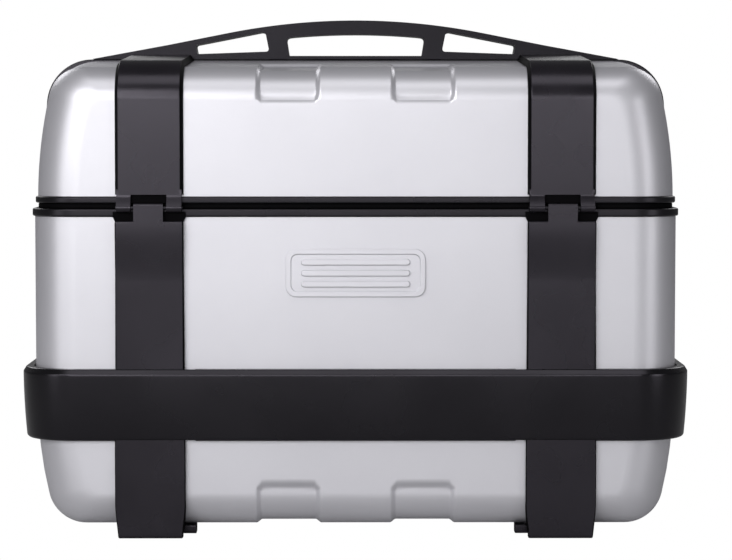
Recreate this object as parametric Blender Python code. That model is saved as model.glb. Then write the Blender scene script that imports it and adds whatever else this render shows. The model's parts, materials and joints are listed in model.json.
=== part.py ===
"""A hard motorcycle case with a clamshell front half, a top-opening lid and a carry handle.

The case stands upright on its feet. X runs across it, its front faces -Y and Z points up.
The origin is on the ground, at the middle of the case's width and depth.
Every dimension is in millimetres; add_node turns the finished meshes into metres.
A depth is a distance behind the outer face of the front wall.
"""
import math

import bmesh
import bpy
from mathutils import Vector
from mathutils.geometry import tessellate_polygon

MM = 0.001
GAP = 0.3  # clearance between pieces that touch

# Front half: silver shell, its outline near the front wall and at the vertical seam
FRONT_Y = -109.5
SEAM_DEPTH = 123.0
SEAM_Y = FRONT_Y + SEAM_DEPTH
WALL = 3.2
SIDE_RADIUS = 36.0  # rounding between the front wall and the sides
EDGE_RADIUS = 26.0  # rounding between the front wall and the top or the bottom
FACE_CORNER = 9.0  # corner radius of the flat front face
TOP_TAPER_START = 264.0
BOTTOM_TAPER_START = 152.0
FRONT_SHAPE = {"half_width": 252.0, "top": 366.9, "bottom": 8.9, "top_radius": 27.5,
               "bottom_radius": 29.0, "top_taper": 8.0, "bottom_taper": 8.2, "lid_step": 2.5}
SEAM_SHAPE = {"half_width": 255.8, "top": 374.6, "bottom": 8.9, "top_radius": 36.2,
              "bottom_radius": 38.0, "top_taper": 3.5, "bottom_taper": 2.0, "lid_step": 0.0}

# Rear half: black shell that narrows to a flat back
REAR_WALL_Y = 106.0
REAR_RADIUS = 24.0
REAR_FACE_CORNER = 18.0
BACK_SHAPE = {"half_width": 250.0, "top": 369.1, "bottom": 8.9, "top_radius": 38.0,
              "bottom_radius": 38.0, "top_taper": 0.0, "bottom_taper": 0.0, "lid_step": 0.0}
RIM_THICKNESS = 5.7
RIM_DEPTH = 7.5
BACK_Y = 118.5  # rear face of the mounting plate

# Horizontal split between the lid and the lower front shell
BEAD_PROUD = 1.5
BEAD_DEPTH = 3.2
LID_BEAD_Z = (260.8, 265.9)
LOWER_BEAD_Z = (250.5, 256.6)
LID_EDGE_Z = LID_BEAD_Z[1] + GAP
LOWER_EDGE_Z = LOWER_BEAD_Z[0] - GAP

# Straps that run over the front half, with the lid's hinges in them
STRAP_X = (132.9, 185.6)
STRAP_PROUD = 5.0
KNUCKLE_DEPTH = -5.4
KNUCKLE_Z = 257.4
KNUCKLE_RADIUS = 3.5
LEG_WIDTHS = (12.8, 12.2)  # inner and outer leg of the lid's strap
TONGUE_X = (148.1, 171.4)
NOTCH_Z = 267.6
STRAP_SHOULDER_Z = 247.1
HINGE_PIN_RADIUS = 1.5

# Feet
FOOT_Z = 2.9
PAD_HEIGHT = 2.6
PAD_X = (138.0, 180.6)
FRONT_PAD_DEPTHS = (4.0, 99.0)
FRONT_FOOT_END = 103.0
REAR_FOOT_Y = (38.0, 81.0)
LUG_X = (124.8, 134.0)  # small block on the inner side of each front foot
LUG_DEPTHS = (12.0, 28.0)
LUG_Z = (1.6, 8.5)

# Clamshell hinges under the seam
CLAMSHELL_Z = 3.8
BARREL_RADIUS = 2.6
CLAMSHELL_PIN_RADIUS = 1.1
BARREL_X = (60.0, 76.0, 94.0, 110.0)

# Plaque on the lower front
BADGE_HALF_WIDTH = 54.0
BADGE_Z = (188.5, 225.5)

# Bumper band around the front and the sides
BAND_Z = (76.7, 132.7)
BAND_PROUD = 9.0
BAND_THICKNESS = 3.2
BAND_FLANGE = 7.6
BAND_FLANGE_HEIGHT = 3.0
BAND_SLIM_DEPTH = 99.0  # behind it the flanges are shallower, to pass the rim frame
BAND_RADIUS = 45.0
BAND_HALF_WIDTHS = (262.0, 263.7)
BAND_END_DEPTH = 165.0
SPACER_DEPTH = 80.0
SPACER_Z = 105.1

# Pressed-in panels that wrap the top and bottom front edges
RECESS_X = (26.8, 77.9)
RECESS_TOP_Z = 338.6
RECESS_BOTTOM_Z = 43.8
RECESS_DEPTH = 1.8
RECESS_END_DEPTH = 48.0

# Carry handle on the rear half
HANDLE_Y = (14.5, 38.5)
HANDLE_BASE_Z = 376.5
HANDLE_TOP_Z = 408.0
HANDLE_END_X = 216.0
HANDLE_SHOULDER = (154.0, 387.9)
HANDLE_CROWN = (104.0, 397.8)  # where the arms run into the curved crown
GRIP_HALF_WIDTH = 56.8
GRIP_Z = (379.0, 396.4)
SLOT = [(131.0, 381.3), (131.0, 386.6), (75.5, 397.4), (72.0, 395.1), (70.8, 383.6), (72.5, 381.3)]
HANDLE_BOSS_X = (64.5, 180.0)
BOSS_Z = 374.5
HANDLE_SCREW_Y = 32.5

# Lock on the top of the rear half, with the lid's latch under it
HOUSING_X = 36.0
HOUSING_Y = (42.0, 76.0)
HOUSING_TOP = 378.9
POCKET_Z = 375.7  # floor of the lever's pocket
LEVER_AXIS = (47.0, 377.3)
LEVER_RADIUS = 1.3
LEVER_END = 66.0
TRUNNION_RADIUS = 0.9
LOCK_X = 27.5
LOCK_Y = 58.0
LOCK_RADIUS = 6.5
HOOK_AXIS = (30.0, 352.1)
PIN_RADIUS = 2.0  # latch pin and catch pivots
STRIKER_Y = 8.0
STRIKER_Z = 359.1

# Inner catches that hold the lower front shell to the rear half
CATCH_AXIS = (30.0, 228.0)
CATCH_X = (243.5, 247.5)
KEEPER_Y = 0.0
KEEPER_Z = 222.0

# Mounting plate on the back
PLATE_HALF_WIDTH = 140.0
PLATE_Z = (84.0, 330.0)
SOCKET_X = 85.0
SOCKET_Z = (98.0, 114.0)
CATCH_WINDOW_X = 26.0
CATCH_WINDOW_Z = (284.0, 316.0)

COLOURS = {
    "silver": ((0.62, 0.62, 0.65), 0.38, 0.9),
    "charcoal": ((0.055, 0.053, 0.06), 0.5, 0.0),
    "black": ((0.018, 0.018, 0.02), 0.45, 0.0),
    "rubber": ((0.012, 0.012, 0.012), 0.85, 0.0),
    "steel": ((0.55, 0.55, 0.56), 0.3, 1.0),
    "red": ((0.35, 0.02, 0.02), 0.4, 0.0),
}


def depth_y(depth):
    """World Y of a depth behind the front wall."""
    return FRONT_Y + depth


def arc(centre, radius, start, end, steps):
    """Points on an arc, its angles in degrees from the first axis towards the second."""
    angles = [math.radians(start + (end - start) * i / steps) for i in range(steps + 1)]
    return [(centre[0] + radius * math.cos(a), centre[1] + radius * math.sin(a)) for a in angles]


def mirrored(points):
    """The same points on the other side of X = 0, in reverse order."""
    return [(-x, other) for x, other in reversed(points)]


def rounded_rectangle(low, high, radius, steps=3):
    """Outline of a rectangle with round corners."""
    corners = [((high[0] - radius, high[1] - radius), 0), ((low[0] + radius, high[1] - radius), 90),
               ((low[0] + radius, low[1] + radius), 180), ((high[0] - radius, low[1] + radius), 270)]
    return [point for centre, turn in corners for point in arc(centre, radius, turn, turn + 90, steps)]


def case_outline(shape):
    """Outline of the case across X and Z: its sides lean in towards the top and the bottom.

    The lid is a little narrower than the lower shell, by lid_step on each side.
    """
    upper_end = shape["top"] - shape["top_radius"]
    lower_end = shape["bottom"] + shape["bottom_radius"]

    def half_width(z):
        above = max(0.0, (z - TOP_TAPER_START) / (upper_end - TOP_TAPER_START))
        below = max(0.0, (BOTTOM_TAPER_START - z) / (BOTTOM_TAPER_START - lower_end))
        step = min(1.0, max(0.0, (z - LOWER_EDGE_Z) / (LID_EDGE_Z - LOWER_EDGE_Z)))
        lean = shape["top_taper"] * above ** 2 + shape["bottom_taper"] * below ** 3
        return shape["half_width"] - lean - shape["lid_step"] * step

    top_tilt = math.atan2(2 * shape["top_taper"], upper_end - TOP_TAPER_START)
    bottom_tilt = math.atan2(3 * shape["bottom_taper"], BOTTOM_TAPER_START - lower_end)
    side_top = upper_end + shape["top_radius"] * math.sin(top_tilt)
    side_bottom = lower_end - shape["bottom_radius"] * math.sin(bottom_tilt)
    top_centre = (half_width(side_top) - shape["top_radius"] * math.cos(top_tilt), upper_end)
    bottom_centre = (half_width(side_bottom) - shape["bottom_radius"] * math.cos(bottom_tilt), lower_end)
    side = [side_top + (LID_EDGE_Z - side_top) * i / 3 for i in range(1, 4)]
    side += [LOWER_EDGE_Z + (side_bottom - LOWER_EDGE_Z) * i / 4 for i in range(4)]
    right = arc(top_centre, shape["top_radius"], 90, math.degrees(top_tilt), 5)
    right += [(half_width(z), z) for z in side]
    right += arc(bottom_centre, shape["bottom_radius"], -math.degrees(bottom_tilt), -90, 5)
    return right + mirrored(right)


def edge_inset(depth, radius):
    """How far a rounded edge pulls the outline in at a distance from the flat wall."""
    if depth >= radius:
        return 0.0
    return radius - math.sqrt(radius ** 2 - (radius - depth) ** 2)


def shell_section(wall_shape, depth, side_radius, edge_radius, face_corner, seam_distance, inset):
    """Shape of a shell half at a distance from its flat wall, between that wall and the seam."""
    blend = max(0.0, (depth - side_radius) / (seam_distance - side_radius))
    shape = {key: wall_shape[key] + (SEAM_SHAPE[key] - wall_shape[key]) * blend for key in wall_shape}
    side = edge_inset(depth, side_radius)
    edge = edge_inset(depth, edge_radius)
    shape["half_width"] -= side + inset
    shape["top"] -= edge + inset
    shape["bottom"] += edge + inset
    for key in ("top_radius", "bottom_radius"):
        shape[key] -= (shape[key] - face_corner) * edge / edge_radius + inset
    return shape


def front_section(depth, inset=0.0):
    """Shape of the front half at a depth behind its front wall."""
    return shell_section(FRONT_SHAPE, depth, SIDE_RADIUS, EDGE_RADIUS, FACE_CORNER, SEAM_DEPTH, inset)


def rear_section(distance, inset=0.0):
    """Shape of the rear half at a distance in front of its rear wall."""
    seam_distance = REAR_WALL_Y - SEAM_Y
    return shell_section(BACK_SHAPE, distance, REAR_RADIUS, REAR_RADIUS, REAR_FACE_CORNER,
                         seam_distance, inset)


def loft(rings):
    """Closed solid through rings of points with the same count; each ring is (y, outline)."""
    bm = bmesh.new()
    loops = [[bm.verts.new((x, y, z)) for x, z in outline] for y, outline in rings]
    for loop, following in zip(loops, loops[1:]):
        for i in range(len(loop)):
            bm.faces.new((loop[i - 1], loop[i], following[i]))
            bm.faces.new((loop[i - 1], following[i], following[i - 1]))
    bm.faces.new(loops[0])
    bm.faces.new(loops[-1])
    bmesh.ops.recalc_face_normals(bm, faces=bm.faces)
    return bm


def prism(loops, axis, low, high):
    """Closed solid with a flat outline, and holes after it, pushed along one axis."""
    place = {"X": lambda u, v, w: (w, u, v), "Y": lambda u, v, w: (u, w, v),
             "Z": lambda u, v, w: (u, v, w)}[axis]
    bm = bmesh.new()
    ends = [[[bm.verts.new(place(u, v, w)) for u, v in loop] for loop in loops] for w in (low, high)]
    for loop_low, loop_high in zip(*ends):
        for i in range(len(loop_low)):
            bm.faces.new((loop_low[i - 1], loop_low[i], loop_high[i], loop_high[i - 1]))
    for end in ends:
        if len(loops) == 1:
            bm.faces.new(end[0])
            continue
        flat = [vert for loop in end for vert in loop]
        for triangle in tessellate_polygon([[Vector((u, v, 0)) for u, v in loop] for loop in loops]):
            bm.faces.new([flat[i] for i in triangle])
    bmesh.ops.recalc_face_normals(bm, faces=bm.faces)
    return bm


def box(low, high):
    """Closed box between two corners."""
    outline = [(low[0], low[1]), (high[0], low[1]), (high[0], high[1]), (low[0], high[1])]
    return prism([outline], "Z", low[2], high[2])


def rod(axis, centre, radius, low, high, sides=16):
    """Closed cylinder along one axis, its centre given on the other two."""
    return prism([arc(centre, radius, 0, 360 * (sides - 1) / sides, sides - 1)], axis, low, high)


def joined(*solids):
    """One mesh that holds several solids, for a cutter made of separate bodies."""
    target = solids[0]
    for solid in solids[1:]:
        mesh = bpy.data.meshes.new("joined")
        solid.to_mesh(mesh)
        solid.free()
        target.from_mesh(mesh)
        bpy.data.meshes.remove(mesh)
    return target


def material(name):
    """Principled material with one of the case's colours."""
    found = bpy.data.materials.get(name)
    if found:
        return found
    colour, roughness, metallic = COLOURS[name]
    made = bpy.data.materials.new(name)
    made.use_nodes = True
    shader = made.node_tree.nodes["Principled BSDF"]
    shader.inputs["Base Color"].default_value = (*colour, 1.0)
    shader.inputs["Roughness"].default_value = roughness
    shader.inputs["Metallic"].default_value = metallic
    made.diffuse_color = (*colour, 1.0)
    return made


def pivot(name, location, parent=None):
    """Empty on a joint's axis; location is in world millimetres."""
    empty = bpy.data.objects.new(name, None)
    bpy.context.collection.objects.link(empty)
    empty["world"] = location
    origin = parent["world"] if parent else (0, 0, 0)
    empty.location = [(a - b) * MM for a, b in zip(location, origin)]
    empty.parent = parent
    return empty


def mesh_object(name, bm, origin):
    """Object whose mesh is given in world millimetres and held in metres about its origin."""
    bmesh.ops.translate(bm, verts=bm.verts, vec=[-value for value in origin])
    bmesh.ops.scale(bm, verts=bm.verts, vec=(MM, MM, MM))
    mesh = bpy.data.meshes.new(name)
    bm.to_mesh(mesh)
    bm.free()
    mesh.shade_smooth()
    mesh.set_sharp_from_angle(angle=math.radians(32))
    made = bpy.data.objects.new(name, mesh)
    bpy.context.collection.objects.link(made)
    return made


def add_node(name, bm, colour, parent=None, bevel=0.0):
    """One named piece of the case, on its body's pivot."""
    origin = parent["world"] if parent else (0, 0, 0)
    made = mesh_object(name, bm, origin)
    made.parent = parent
    made.data.materials.append(material(colour))
    if bevel:
        rounding = made.modifiers.new("edges", "BEVEL")
        rounding.width = bevel * MM
        rounding.segments = 1
        rounding.limit_method = "ANGLE"
        rounding.angle_limit = math.radians(50)
    return made


def carve(target, bm, operation="DIFFERENCE"):
    """Cut a solid out of a piece, or add it to the piece."""
    tool = mesh_object(target.name + "_tool", bm, (0, 0, 0))
    tool.hide_render = True
    tool.display_type = "WIRE"
    change = target.modifiers.new(operation.lower(), "BOOLEAN")
    change.operation = operation
    change.solver = "EXACT"
    change.object = tool


def sides(name):
    """The two sides of the case, as a name with its side and a sign for X."""
    return [(f"{name}_left", -1), (f"{name}_right", 1)]


def span(sign, low, high):
    """An X range on one side of the case, lowest first."""
    return tuple(sorted((sign * low, sign * high)))


def front_solid(inset=0.0):
    """Solid inside the front half's surface, moved in by inset and back past the seam by as much."""
    depths = [0.0, 1.6, 5.0, 11.0, 18.0, 26.0, 36.0, SEAM_DEPTH]
    rings = [(depth_y(depth + inset), case_outline(front_section(depth, inset))) for depth in depths]
    return loft(rings)


def front_profile(offset, end_z):
    """Depth and height of the front half's surface from the seam over the top to end_z."""
    top = FRONT_SHAPE["top"]
    points = [(SEAM_DEPTH, SEAM_SHAPE["top"] + offset)]
    points += arc((EDGE_RADIUS, top - EDGE_RADIUS), EDGE_RADIUS + offset, 90, 180, 7)
    points.append((-offset, end_z))
    return [(depth_y(depth), z) for depth, z in points]


def plan_path(offset, step):
    """Points of the front half's surface across X and Y at the split, from seam to seam."""
    width = FRONT_SHAPE["half_width"] - step
    right = arc((width - SIDE_RADIUS, SIDE_RADIUS), SIDE_RADIUS + offset, -90, 0, 7)
    right.append((SEAM_SHAPE["half_width"] + offset, SEAM_DEPTH))
    right = [(x, depth_y(depth)) for x, depth in right]
    return mirrored(right) + right


def split_strip(outer, inner, z_range, step=0.0):
    """Strip that follows the surface around the split, on sides moved in by step."""
    outline = plan_path(outer, step) + plan_path(-inner, step)[::-1]
    return prism([outline], "Z", *z_range)


def recess_cutter(top):
    """Solids that press the two panels into the top or the bottom front edge."""
    radius = EDGE_RADIUS - RECESS_DEPTH
    out = 6.0
    if top:
        edge = FRONT_SHAPE["top"]
        rise = (SEAM_SHAPE["top"] - edge) / (SEAM_DEPTH - EDGE_RADIUS)
        surface = arc((EDGE_RADIUS, edge - EDGE_RADIUS), radius, 180, 90, 6)
        end = edge + rise * (RECESS_END_DEPTH - EDGE_RADIUS)
        profile = [(-out, RECESS_TOP_Z - 2), (RECESS_DEPTH, RECESS_TOP_Z), *surface,
                   (RECESS_END_DEPTH, end - RECESS_DEPTH), (RECESS_END_DEPTH, end + out),
                   (-out, end + out)]
    else:
        edge = FRONT_SHAPE["bottom"]
        surface = arc((EDGE_RADIUS, edge + EDGE_RADIUS), radius, 180, 270, 6)
        profile = [(-out, RECESS_BOTTOM_Z + 2), (RECESS_DEPTH, RECESS_BOTTOM_Z), *surface,
                   (RECESS_END_DEPTH, edge + RECESS_DEPTH), (RECESS_END_DEPTH, edge - out),
                   (-out, edge - out)]
    profile = [(depth_y(depth), z) for depth, z in profile]
    return joined(*(prism([profile], "X", *span(sign, *RECESS_X)) for sign in (-1, 1)))


def big_box(z_low, z_high):
    """Box wider and deeper than the case, between two heights."""
    return box((-400, -400, z_low), (400, 400, z_high))


def make_lid(lid):
    """Silver lid with its black bead, its straps and its striker."""
    shell = add_node("lid_shell", front_solid(), "silver", lid)
    carve(shell, front_solid(WALL))
    carve(shell, big_box(-100, LID_EDGE_Z))
    carve(shell, recess_cutter(True))
    bead = split_strip(BEAD_PROUD, BEAD_DEPTH, LID_BEAD_Z, FRONT_SHAPE["lid_step"])
    add_node("lid_edge_bead", bead, "black", lid, 0.6)
    for name, sign in sides("lid_strap"):
        make_lid_strap(name, sign, lid)
    striker_top = SEAM_SHAPE["top"] - WALL - 1.6
    loop = [(-12, striker_top), (-12, STRIKER_Z - 1.5), (12, STRIKER_Z - 1.5), (12, striker_top),
            (9, striker_top), (9, STRIKER_Z + 1.5), (-9, STRIKER_Z + 1.5), (-9, striker_top)]
    add_node("lid_striker", prism([loop], "Y", STRIKER_Y - 1.5, STRIKER_Y + 1.5), "steel", lid)


def make_lid_strap(name, sign, lid):
    """Strap over the lid, whose two legs end in hinge knuckles."""
    inner = front_profile(GAP, NOTCH_Z)
    outer = front_profile(GAP + STRAP_PROUD, NOTCH_Z)
    strap = add_node(name, prism([outer + inner[::-1]], "X", *span(sign, *STRAP_X)), "charcoal", lid)
    back = KNUCKLE_DEPTH + KNUCKLE_RADIUS
    leg = [(back, NOTCH_Z + 4)] + arc((KNUCKLE_DEPTH, KNUCKLE_Z), KNUCKLE_RADIUS, 0, -210, 8)
    leg += [(-GAP - STRAP_PROUD, NOTCH_Z - 2), (-GAP - STRAP_PROUD, NOTCH_Z + 4)]
    leg = [(depth_y(depth), z) for depth, z in leg]
    carve(strap, prism([leg], "X", *span(sign, STRAP_X[0], STRAP_X[0] + LEG_WIDTHS[0])), "UNION")
    carve(strap, prism([leg], "X", *span(sign, STRAP_X[1] - LEG_WIDTHS[1], STRAP_X[1])), "UNION")
    carve(strap, knuckle_bore(sign))


def knuckle_bore(sign):
    """Cutter for the hinge pin's hole through a strap."""
    centre = (depth_y(KNUCKLE_DEPTH), KNUCKLE_Z)
    return rod("X", centre, HINGE_PIN_RADIUS + GAP, *span(sign, STRAP_X[0] - 5, STRAP_X[1] + 5), 12)


def make_lower_shell(front):
    """Silver lower part of the front half, with its bead and the lid's seal."""
    shell = add_node("front_lower_shell", front_solid(), "silver", front)
    carve(shell, front_solid(WALL))
    carve(shell, big_box(LOWER_EDGE_Z, 600))
    carve(shell, recess_cutter(False))
    for sign in (-1, 1):
        screw_hole = rod("X", (depth_y(SPACER_DEPTH), SPACER_Z), 2.3, *span(sign, 240, 262), 12)
        carve(shell, screw_hole)
    add_node("lower_edge_bead", split_strip(BEAD_PROUD, BEAD_DEPTH, LOWER_BEAD_Z), "black", front, 0.6)
    seal_z = (LOWER_BEAD_Z[1] + GAP, LID_BEAD_Z[0] - GAP)
    seal = split_strip(-0.8, 3.0, seal_z, FRONT_SHAPE["lid_step"])
    add_node("lid_seal", seal, "rubber", front)


def make_lower_strap(name, sign, front):
    """Strap down the lower shell, with the hinge tongue above and the front foot below."""
    edge = FRONT_SHAPE["bottom"]
    outer_depth = -GAP - STRAP_PROUD
    inner = [(-GAP, STRAP_SHOULDER_Z)]
    inner += arc((EDGE_RADIUS, edge + EDGE_RADIUS), EDGE_RADIUS + GAP, 180, 270, 7)
    inner.append((FRONT_FOOT_END, edge - GAP))
    toe = 8.0
    outer = [(FRONT_FOOT_END, FOOT_Z)]
    outer += arc((outer_depth + toe, FOOT_Z + toe), toe, 270, 180, 4)
    outer.append((outer_depth, STRAP_SHOULDER_Z))
    profile = [(depth_y(depth), z) for depth, z in inner + outer]
    strap = add_node(name, prism([profile], "X", *span(sign, *STRAP_X)), "charcoal", front)
    back = KNUCKLE_DEPTH + KNUCKLE_RADIUS
    tongue = [(outer_depth, STRAP_SHOULDER_Z - 5), (back, STRAP_SHOULDER_Z - 5)]
    tongue += arc((KNUCKLE_DEPTH, KNUCKLE_Z), KNUCKLE_RADIUS, 0, 210, 8)
    tongue.append((outer_depth, STRAP_SHOULDER_Z + 2))
    tongue = [(depth_y(depth), z) for depth, z in tongue]
    carve(strap, prism([tongue], "X", *span(sign, *TONGUE_X)), "UNION")
    lug_x = span(sign, *LUG_X)
    lug_y = [depth_y(depth) for depth in LUG_DEPTHS]
    carve(strap, box((lug_x[0], lug_y[0], LUG_Z[0]), (lug_x[1], lug_y[1], LUG_Z[1])), "UNION")
    carve(strap, knuckle_bore(sign))


def make_straps_and_feet(front):
    """Lower straps, the lid's hinge pins and the rubber pads under the front feet."""
    for name, sign in sides("front_lower_strap"):
        make_lower_strap(name, sign, front)
    for name, sign in sides("lid_hinge_pin"):
        centre = (depth_y(KNUCKLE_DEPTH), KNUCKLE_Z)
        ends = span(sign, STRAP_X[0] + 0.5, STRAP_X[1] - 0.5)
        add_node(name, rod("X", centre, HINGE_PIN_RADIUS, *ends, 12), "steel", front)
    for name, sign in sides("front_foot_pad"):
        x_range = span(sign, *PAD_X)
        y_range = [depth_y(depth) for depth in FRONT_PAD_DEPTHS]
        pad = rounded_rectangle((x_range[0], y_range[0]), (x_range[1], y_range[1]), 5)
        add_node(name, prism([pad], "Z", 0.0, PAD_HEIGHT), "rubber", front)


def band_path(offset, depths):
    """Outer surface of the bumper band across X and Y, moved in by offset, to the given depths."""
    centre = (BAND_HALF_WIDTHS[0] - BAND_RADIUS, BAND_RADIUS - BAND_PROUD)
    right = arc(centre, BAND_RADIUS - offset, -90, 0, 8)
    flare = (BAND_HALF_WIDTHS[1] - BAND_HALF_WIDTHS[0]) / (BAND_END_DEPTH - centre[1])
    for depth, extra in depths:
        right.append((BAND_HALF_WIDTHS[0] - offset + extra + flare * (depth - centre[1]), depth))
    right = [(x, depth_y(depth)) for x, depth in right]
    return mirrored(right) + right


def make_band(front):
    """Bumper band with inward flanges, notched where the straps pass behind it."""
    slim = BAND_FLANGE - BAND_THICKNESS - 1.8
    outer = band_path(0.0, [(BAND_END_DEPTH, 0.0)])
    rear_end = [(BAND_SLIM_DEPTH, 0.0), (BAND_SLIM_DEPTH + 6, slim), (BAND_END_DEPTH, slim)]
    inner = band_path(BAND_FLANGE, rear_end)
    band = add_node("bumper_band", prism([outer + inner[::-1]], "Z", *BAND_Z), "black", front)
    hollow = band_path(BAND_THICKNESS, [(BAND_END_DEPTH + 20, 0.0)]) + [(240, 200), (-240, 200)]
    carve(band, prism([hollow], "Z", BAND_Z[0] + BAND_FLANGE_HEIGHT, BAND_Z[1] - BAND_FLANGE_HEIGHT))
    inner_face = depth_y(-BAND_PROUD + BAND_THICKNESS)
    for sign in (-1, 1):
        x_range = span(sign, STRAP_X[0] - 0.8, STRAP_X[1] + 0.8)
        carve(band, box((x_range[0], inner_face, 40), (x_range[1], depth_y(20), 160)))
    for name, sign in sides("band_spacer"):
        centre = (depth_y(SPACER_DEPTH), SPACER_Z)
        outline = [arc(centre, 9.0, 0, 337.5, 15), arc(centre, 2.7, 0, 337.5, 15)]
        add_node(name, prism(outline, "X", *span(sign, 254.5, 259.0)), "black", front)
    for name, sign in sides("band_screw"):
        head = rod("X", (depth_y(SPACER_DEPTH), SPACER_Z), 5.0, *span(sign, 244.6, 247.8))
        screw = add_node(name, head, "steel", front)
        carve(screw, rod("X", (depth_y(SPACER_DEPTH), SPACER_Z), 2.0, *span(sign, 247.0, 258.6), 12), "UNION")


def make_badge(front):
    """Plain raised plaque with three ribs, where the case's maker would put a name."""
    face = depth_y(-GAP)
    plate = rounded_rectangle((-BADGE_HALF_WIDTH, BADGE_Z[0]), (BADGE_HALF_WIDTH, BADGE_Z[1]), 8, 4)
    badge = add_node("front_badge", prism([plate], "Y", face - 2.0, face), "silver", front, 0.5)
    middle = sum(BADGE_Z) / 2
    for z in (middle - 10, middle, middle + 10):
        rib = rounded_rectangle((-42, z - 2), (42, z + 2), 1.9, 2)
        carve(badge, prism([rib], "Y", face - 3.2, face - 1.0), "UNION")


def make_clamshell_hinges(front):
    """Two hinges under the seam: a leaf on each half, and a pin through both."""
    axis = (SEAM_Y, CLAMSHELL_Z)
    plate_z = (CLAMSHELL_Z - 0.8, CLAMSHELL_Z + 1.2)
    top = SEAM_SHAPE["bottom"] - GAP
    clear = BARREL_RADIUS + 0.6
    for side, sign in (("left", -1), ("right", 1)):
        ends = span(sign, BARREL_X[0] - 5, BARREL_X[3] + 5)
        bore = [rod("X", axis, CLAMSHELL_PIN_RADIUS + GAP, *ends, 12) for _ in range(2)]
        knuckle = span(sign, BARREL_X[1] + GAP, BARREL_X[2] - GAP)
        whole = span(sign, BARREL_X[0], BARREL_X[3])
        leaf = [(SEAM_Y - 26, plate_z[0]), (SEAM_Y - clear, plate_z[0]), (SEAM_Y - clear, plate_z[1]),
                (SEAM_Y - 9, plate_z[1]), (SEAM_Y - 9, top), (SEAM_Y - 26, top)]
        node = add_node(f"front_hinge_leaf_{side}", prism([leaf], "X", *whole), "steel", front)
        neck = box((knuckle[0], SEAM_Y - clear - 1, plate_z[0]), (knuckle[1], SEAM_Y, plate_z[1]))
        carve(node, neck, "UNION")
        carve(node, rod("X", axis, BARREL_RADIUS, *knuckle), "UNION")
        carve(node, bore[0])
        leaf = [(2 * SEAM_Y - y, z) for y, z in leaf]
        leaf = [(y + 4.0 if z == top else y, z) for y, z in leaf]
        node = add_node(f"rear_hinge_leaf_{side}", prism([leaf], "X", *whole), "steel")
        for pair in (BARREL_X[:2], BARREL_X[2:]):
            x_range = span(sign, *pair)
            neck = box((x_range[0], SEAM_Y, plate_z[0]), (x_range[1], SEAM_Y + clear + 1, plate_z[1]))
            carve(node, neck, "UNION")
            carve(node, rod("X", axis, BARREL_RADIUS, *x_range), "UNION")
        carve(node, bore[1])
        pin = rod("X", axis, CLAMSHELL_PIN_RADIUS, *span(sign, BARREL_X[0] - 1, BARREL_X[3] + 1), 12)
        add_node(f"clamshell_hinge_pin_{side}", pin, "steel")


def make_rear_shell():
    """Black rear shell, with holes for the handle's screws."""
    distances = [0.0, 1.5, 4.5, 10.0, 17.0, 24.0]
    start = REAR_WALL_Y - (SEAM_Y + GAP + RIM_THICKNESS + GAP)
    outer = [(REAR_WALL_Y - d, case_outline(rear_section(d))) for d in distances + [start]]
    shell = add_node("rear_shell", loft(outer), "black")
    inner = [(REAR_WALL_Y - WALL - d, case_outline(rear_section(d, WALL))) for d in distances + [start]]
    carve(shell, loft(inner))
    for x in HANDLE_BOSS_X:
        for sign in (-1, 1):
            carve(shell, rod("Z", (sign * x, HANDLE_SCREW_Y), 2.3, 350, 380, 12))


def seam_ring(outer, inner, y_range):
    """Ring that follows the seam's outline, from outer millimetres outside it to inner inside."""
    loops = []
    for offset in (outer, -inner):
        shape = dict(SEAM_SHAPE)
        shape["half_width"] += offset
        shape["top"] += offset
        shape["bottom"] -= offset
        shape["top_radius"] += offset
        shape["bottom_radius"] += offset
        loops.append(case_outline(shape))
    return prism(loops, "Y", *y_range)


def make_rim():
    """Rim frame around the rear half's mouth, and the main seal in front of it."""
    rim_y = (SEAM_Y + GAP, SEAM_Y + GAP + RIM_THICKNESS)
    add_node("rear_rim_frame", seam_ring(BEAD_PROUD, RIM_DEPTH - BEAD_PROUD, rim_y), "black")
    seal = seam_ring(-WALL - 1.0, RIM_DEPTH - BEAD_PROUD, (SEAM_Y - 3.0, SEAM_Y))
    add_node("main_seal", seal, "rubber")


def handle_outline():
    """Outer contour of the handle, from its left end over the crown to its right end."""
    left = [(-HANDLE_END_X, HANDLE_BASE_Z), (-HANDLE_END_X, HANDLE_BASE_Z + 1.0)]
    left.append((-HANDLE_SHOULDER[0], HANDLE_SHOULDER[1]))
    for i in range(6):
        x = -HANDLE_CROWN[0] * (1 - i / 6)
        fall = (HANDLE_TOP_Z - HANDLE_CROWN[1]) * (x / HANDLE_CROWN[0]) ** 2
        left.append((x, HANDLE_TOP_Z - fall))
    return left + [(0.0, HANDLE_TOP_Z)] + mirrored(left)


def handle_windows():
    """The hand opening under the grip and the two slots under the arms."""
    grip = rounded_rectangle((-GRIP_HALF_WIDTH, GRIP_Z[0]), (GRIP_HALF_WIDTH, GRIP_Z[1]), 5)
    return [grip, SLOT, mirrored(SLOT)]


def make_handle():
    """Carry handle moulding on the rear half's top, with its four screws."""
    body = prism([handle_outline()] + handle_windows(), "Y", *HANDLE_Y)
    handle = add_node("carry_handle", body, "charcoal")
    number = 0
    for x in HANDLE_BOSS_X:
        for sign in (-1, 1):
            number += 1
            centre = (sign * x, HANDLE_SCREW_Y)
            boss = box((centre[0] - 7, HANDLE_SCREW_Y - 5, BOSS_Z),
                       (centre[0] + 7, HANDLE_Y[1], HANDLE_BASE_Z + 1))
            carve(handle, boss, "UNION")
            carve(handle, rod("Z", centre, 2.3, BOSS_Z - 2, BOSS_Z + 6.6, 12))
            head = rod("Z", centre, 4.5, BOSS_Z - 8.9, BOSS_Z - 5.9)
            screw = add_node(f"handle_screw_{number}", head, "steel")
            carve(screw, rod("Z", centre, 2.0, BOSS_Z - 6.4, BOSS_Z + 6.2, 12), "UNION")


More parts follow.
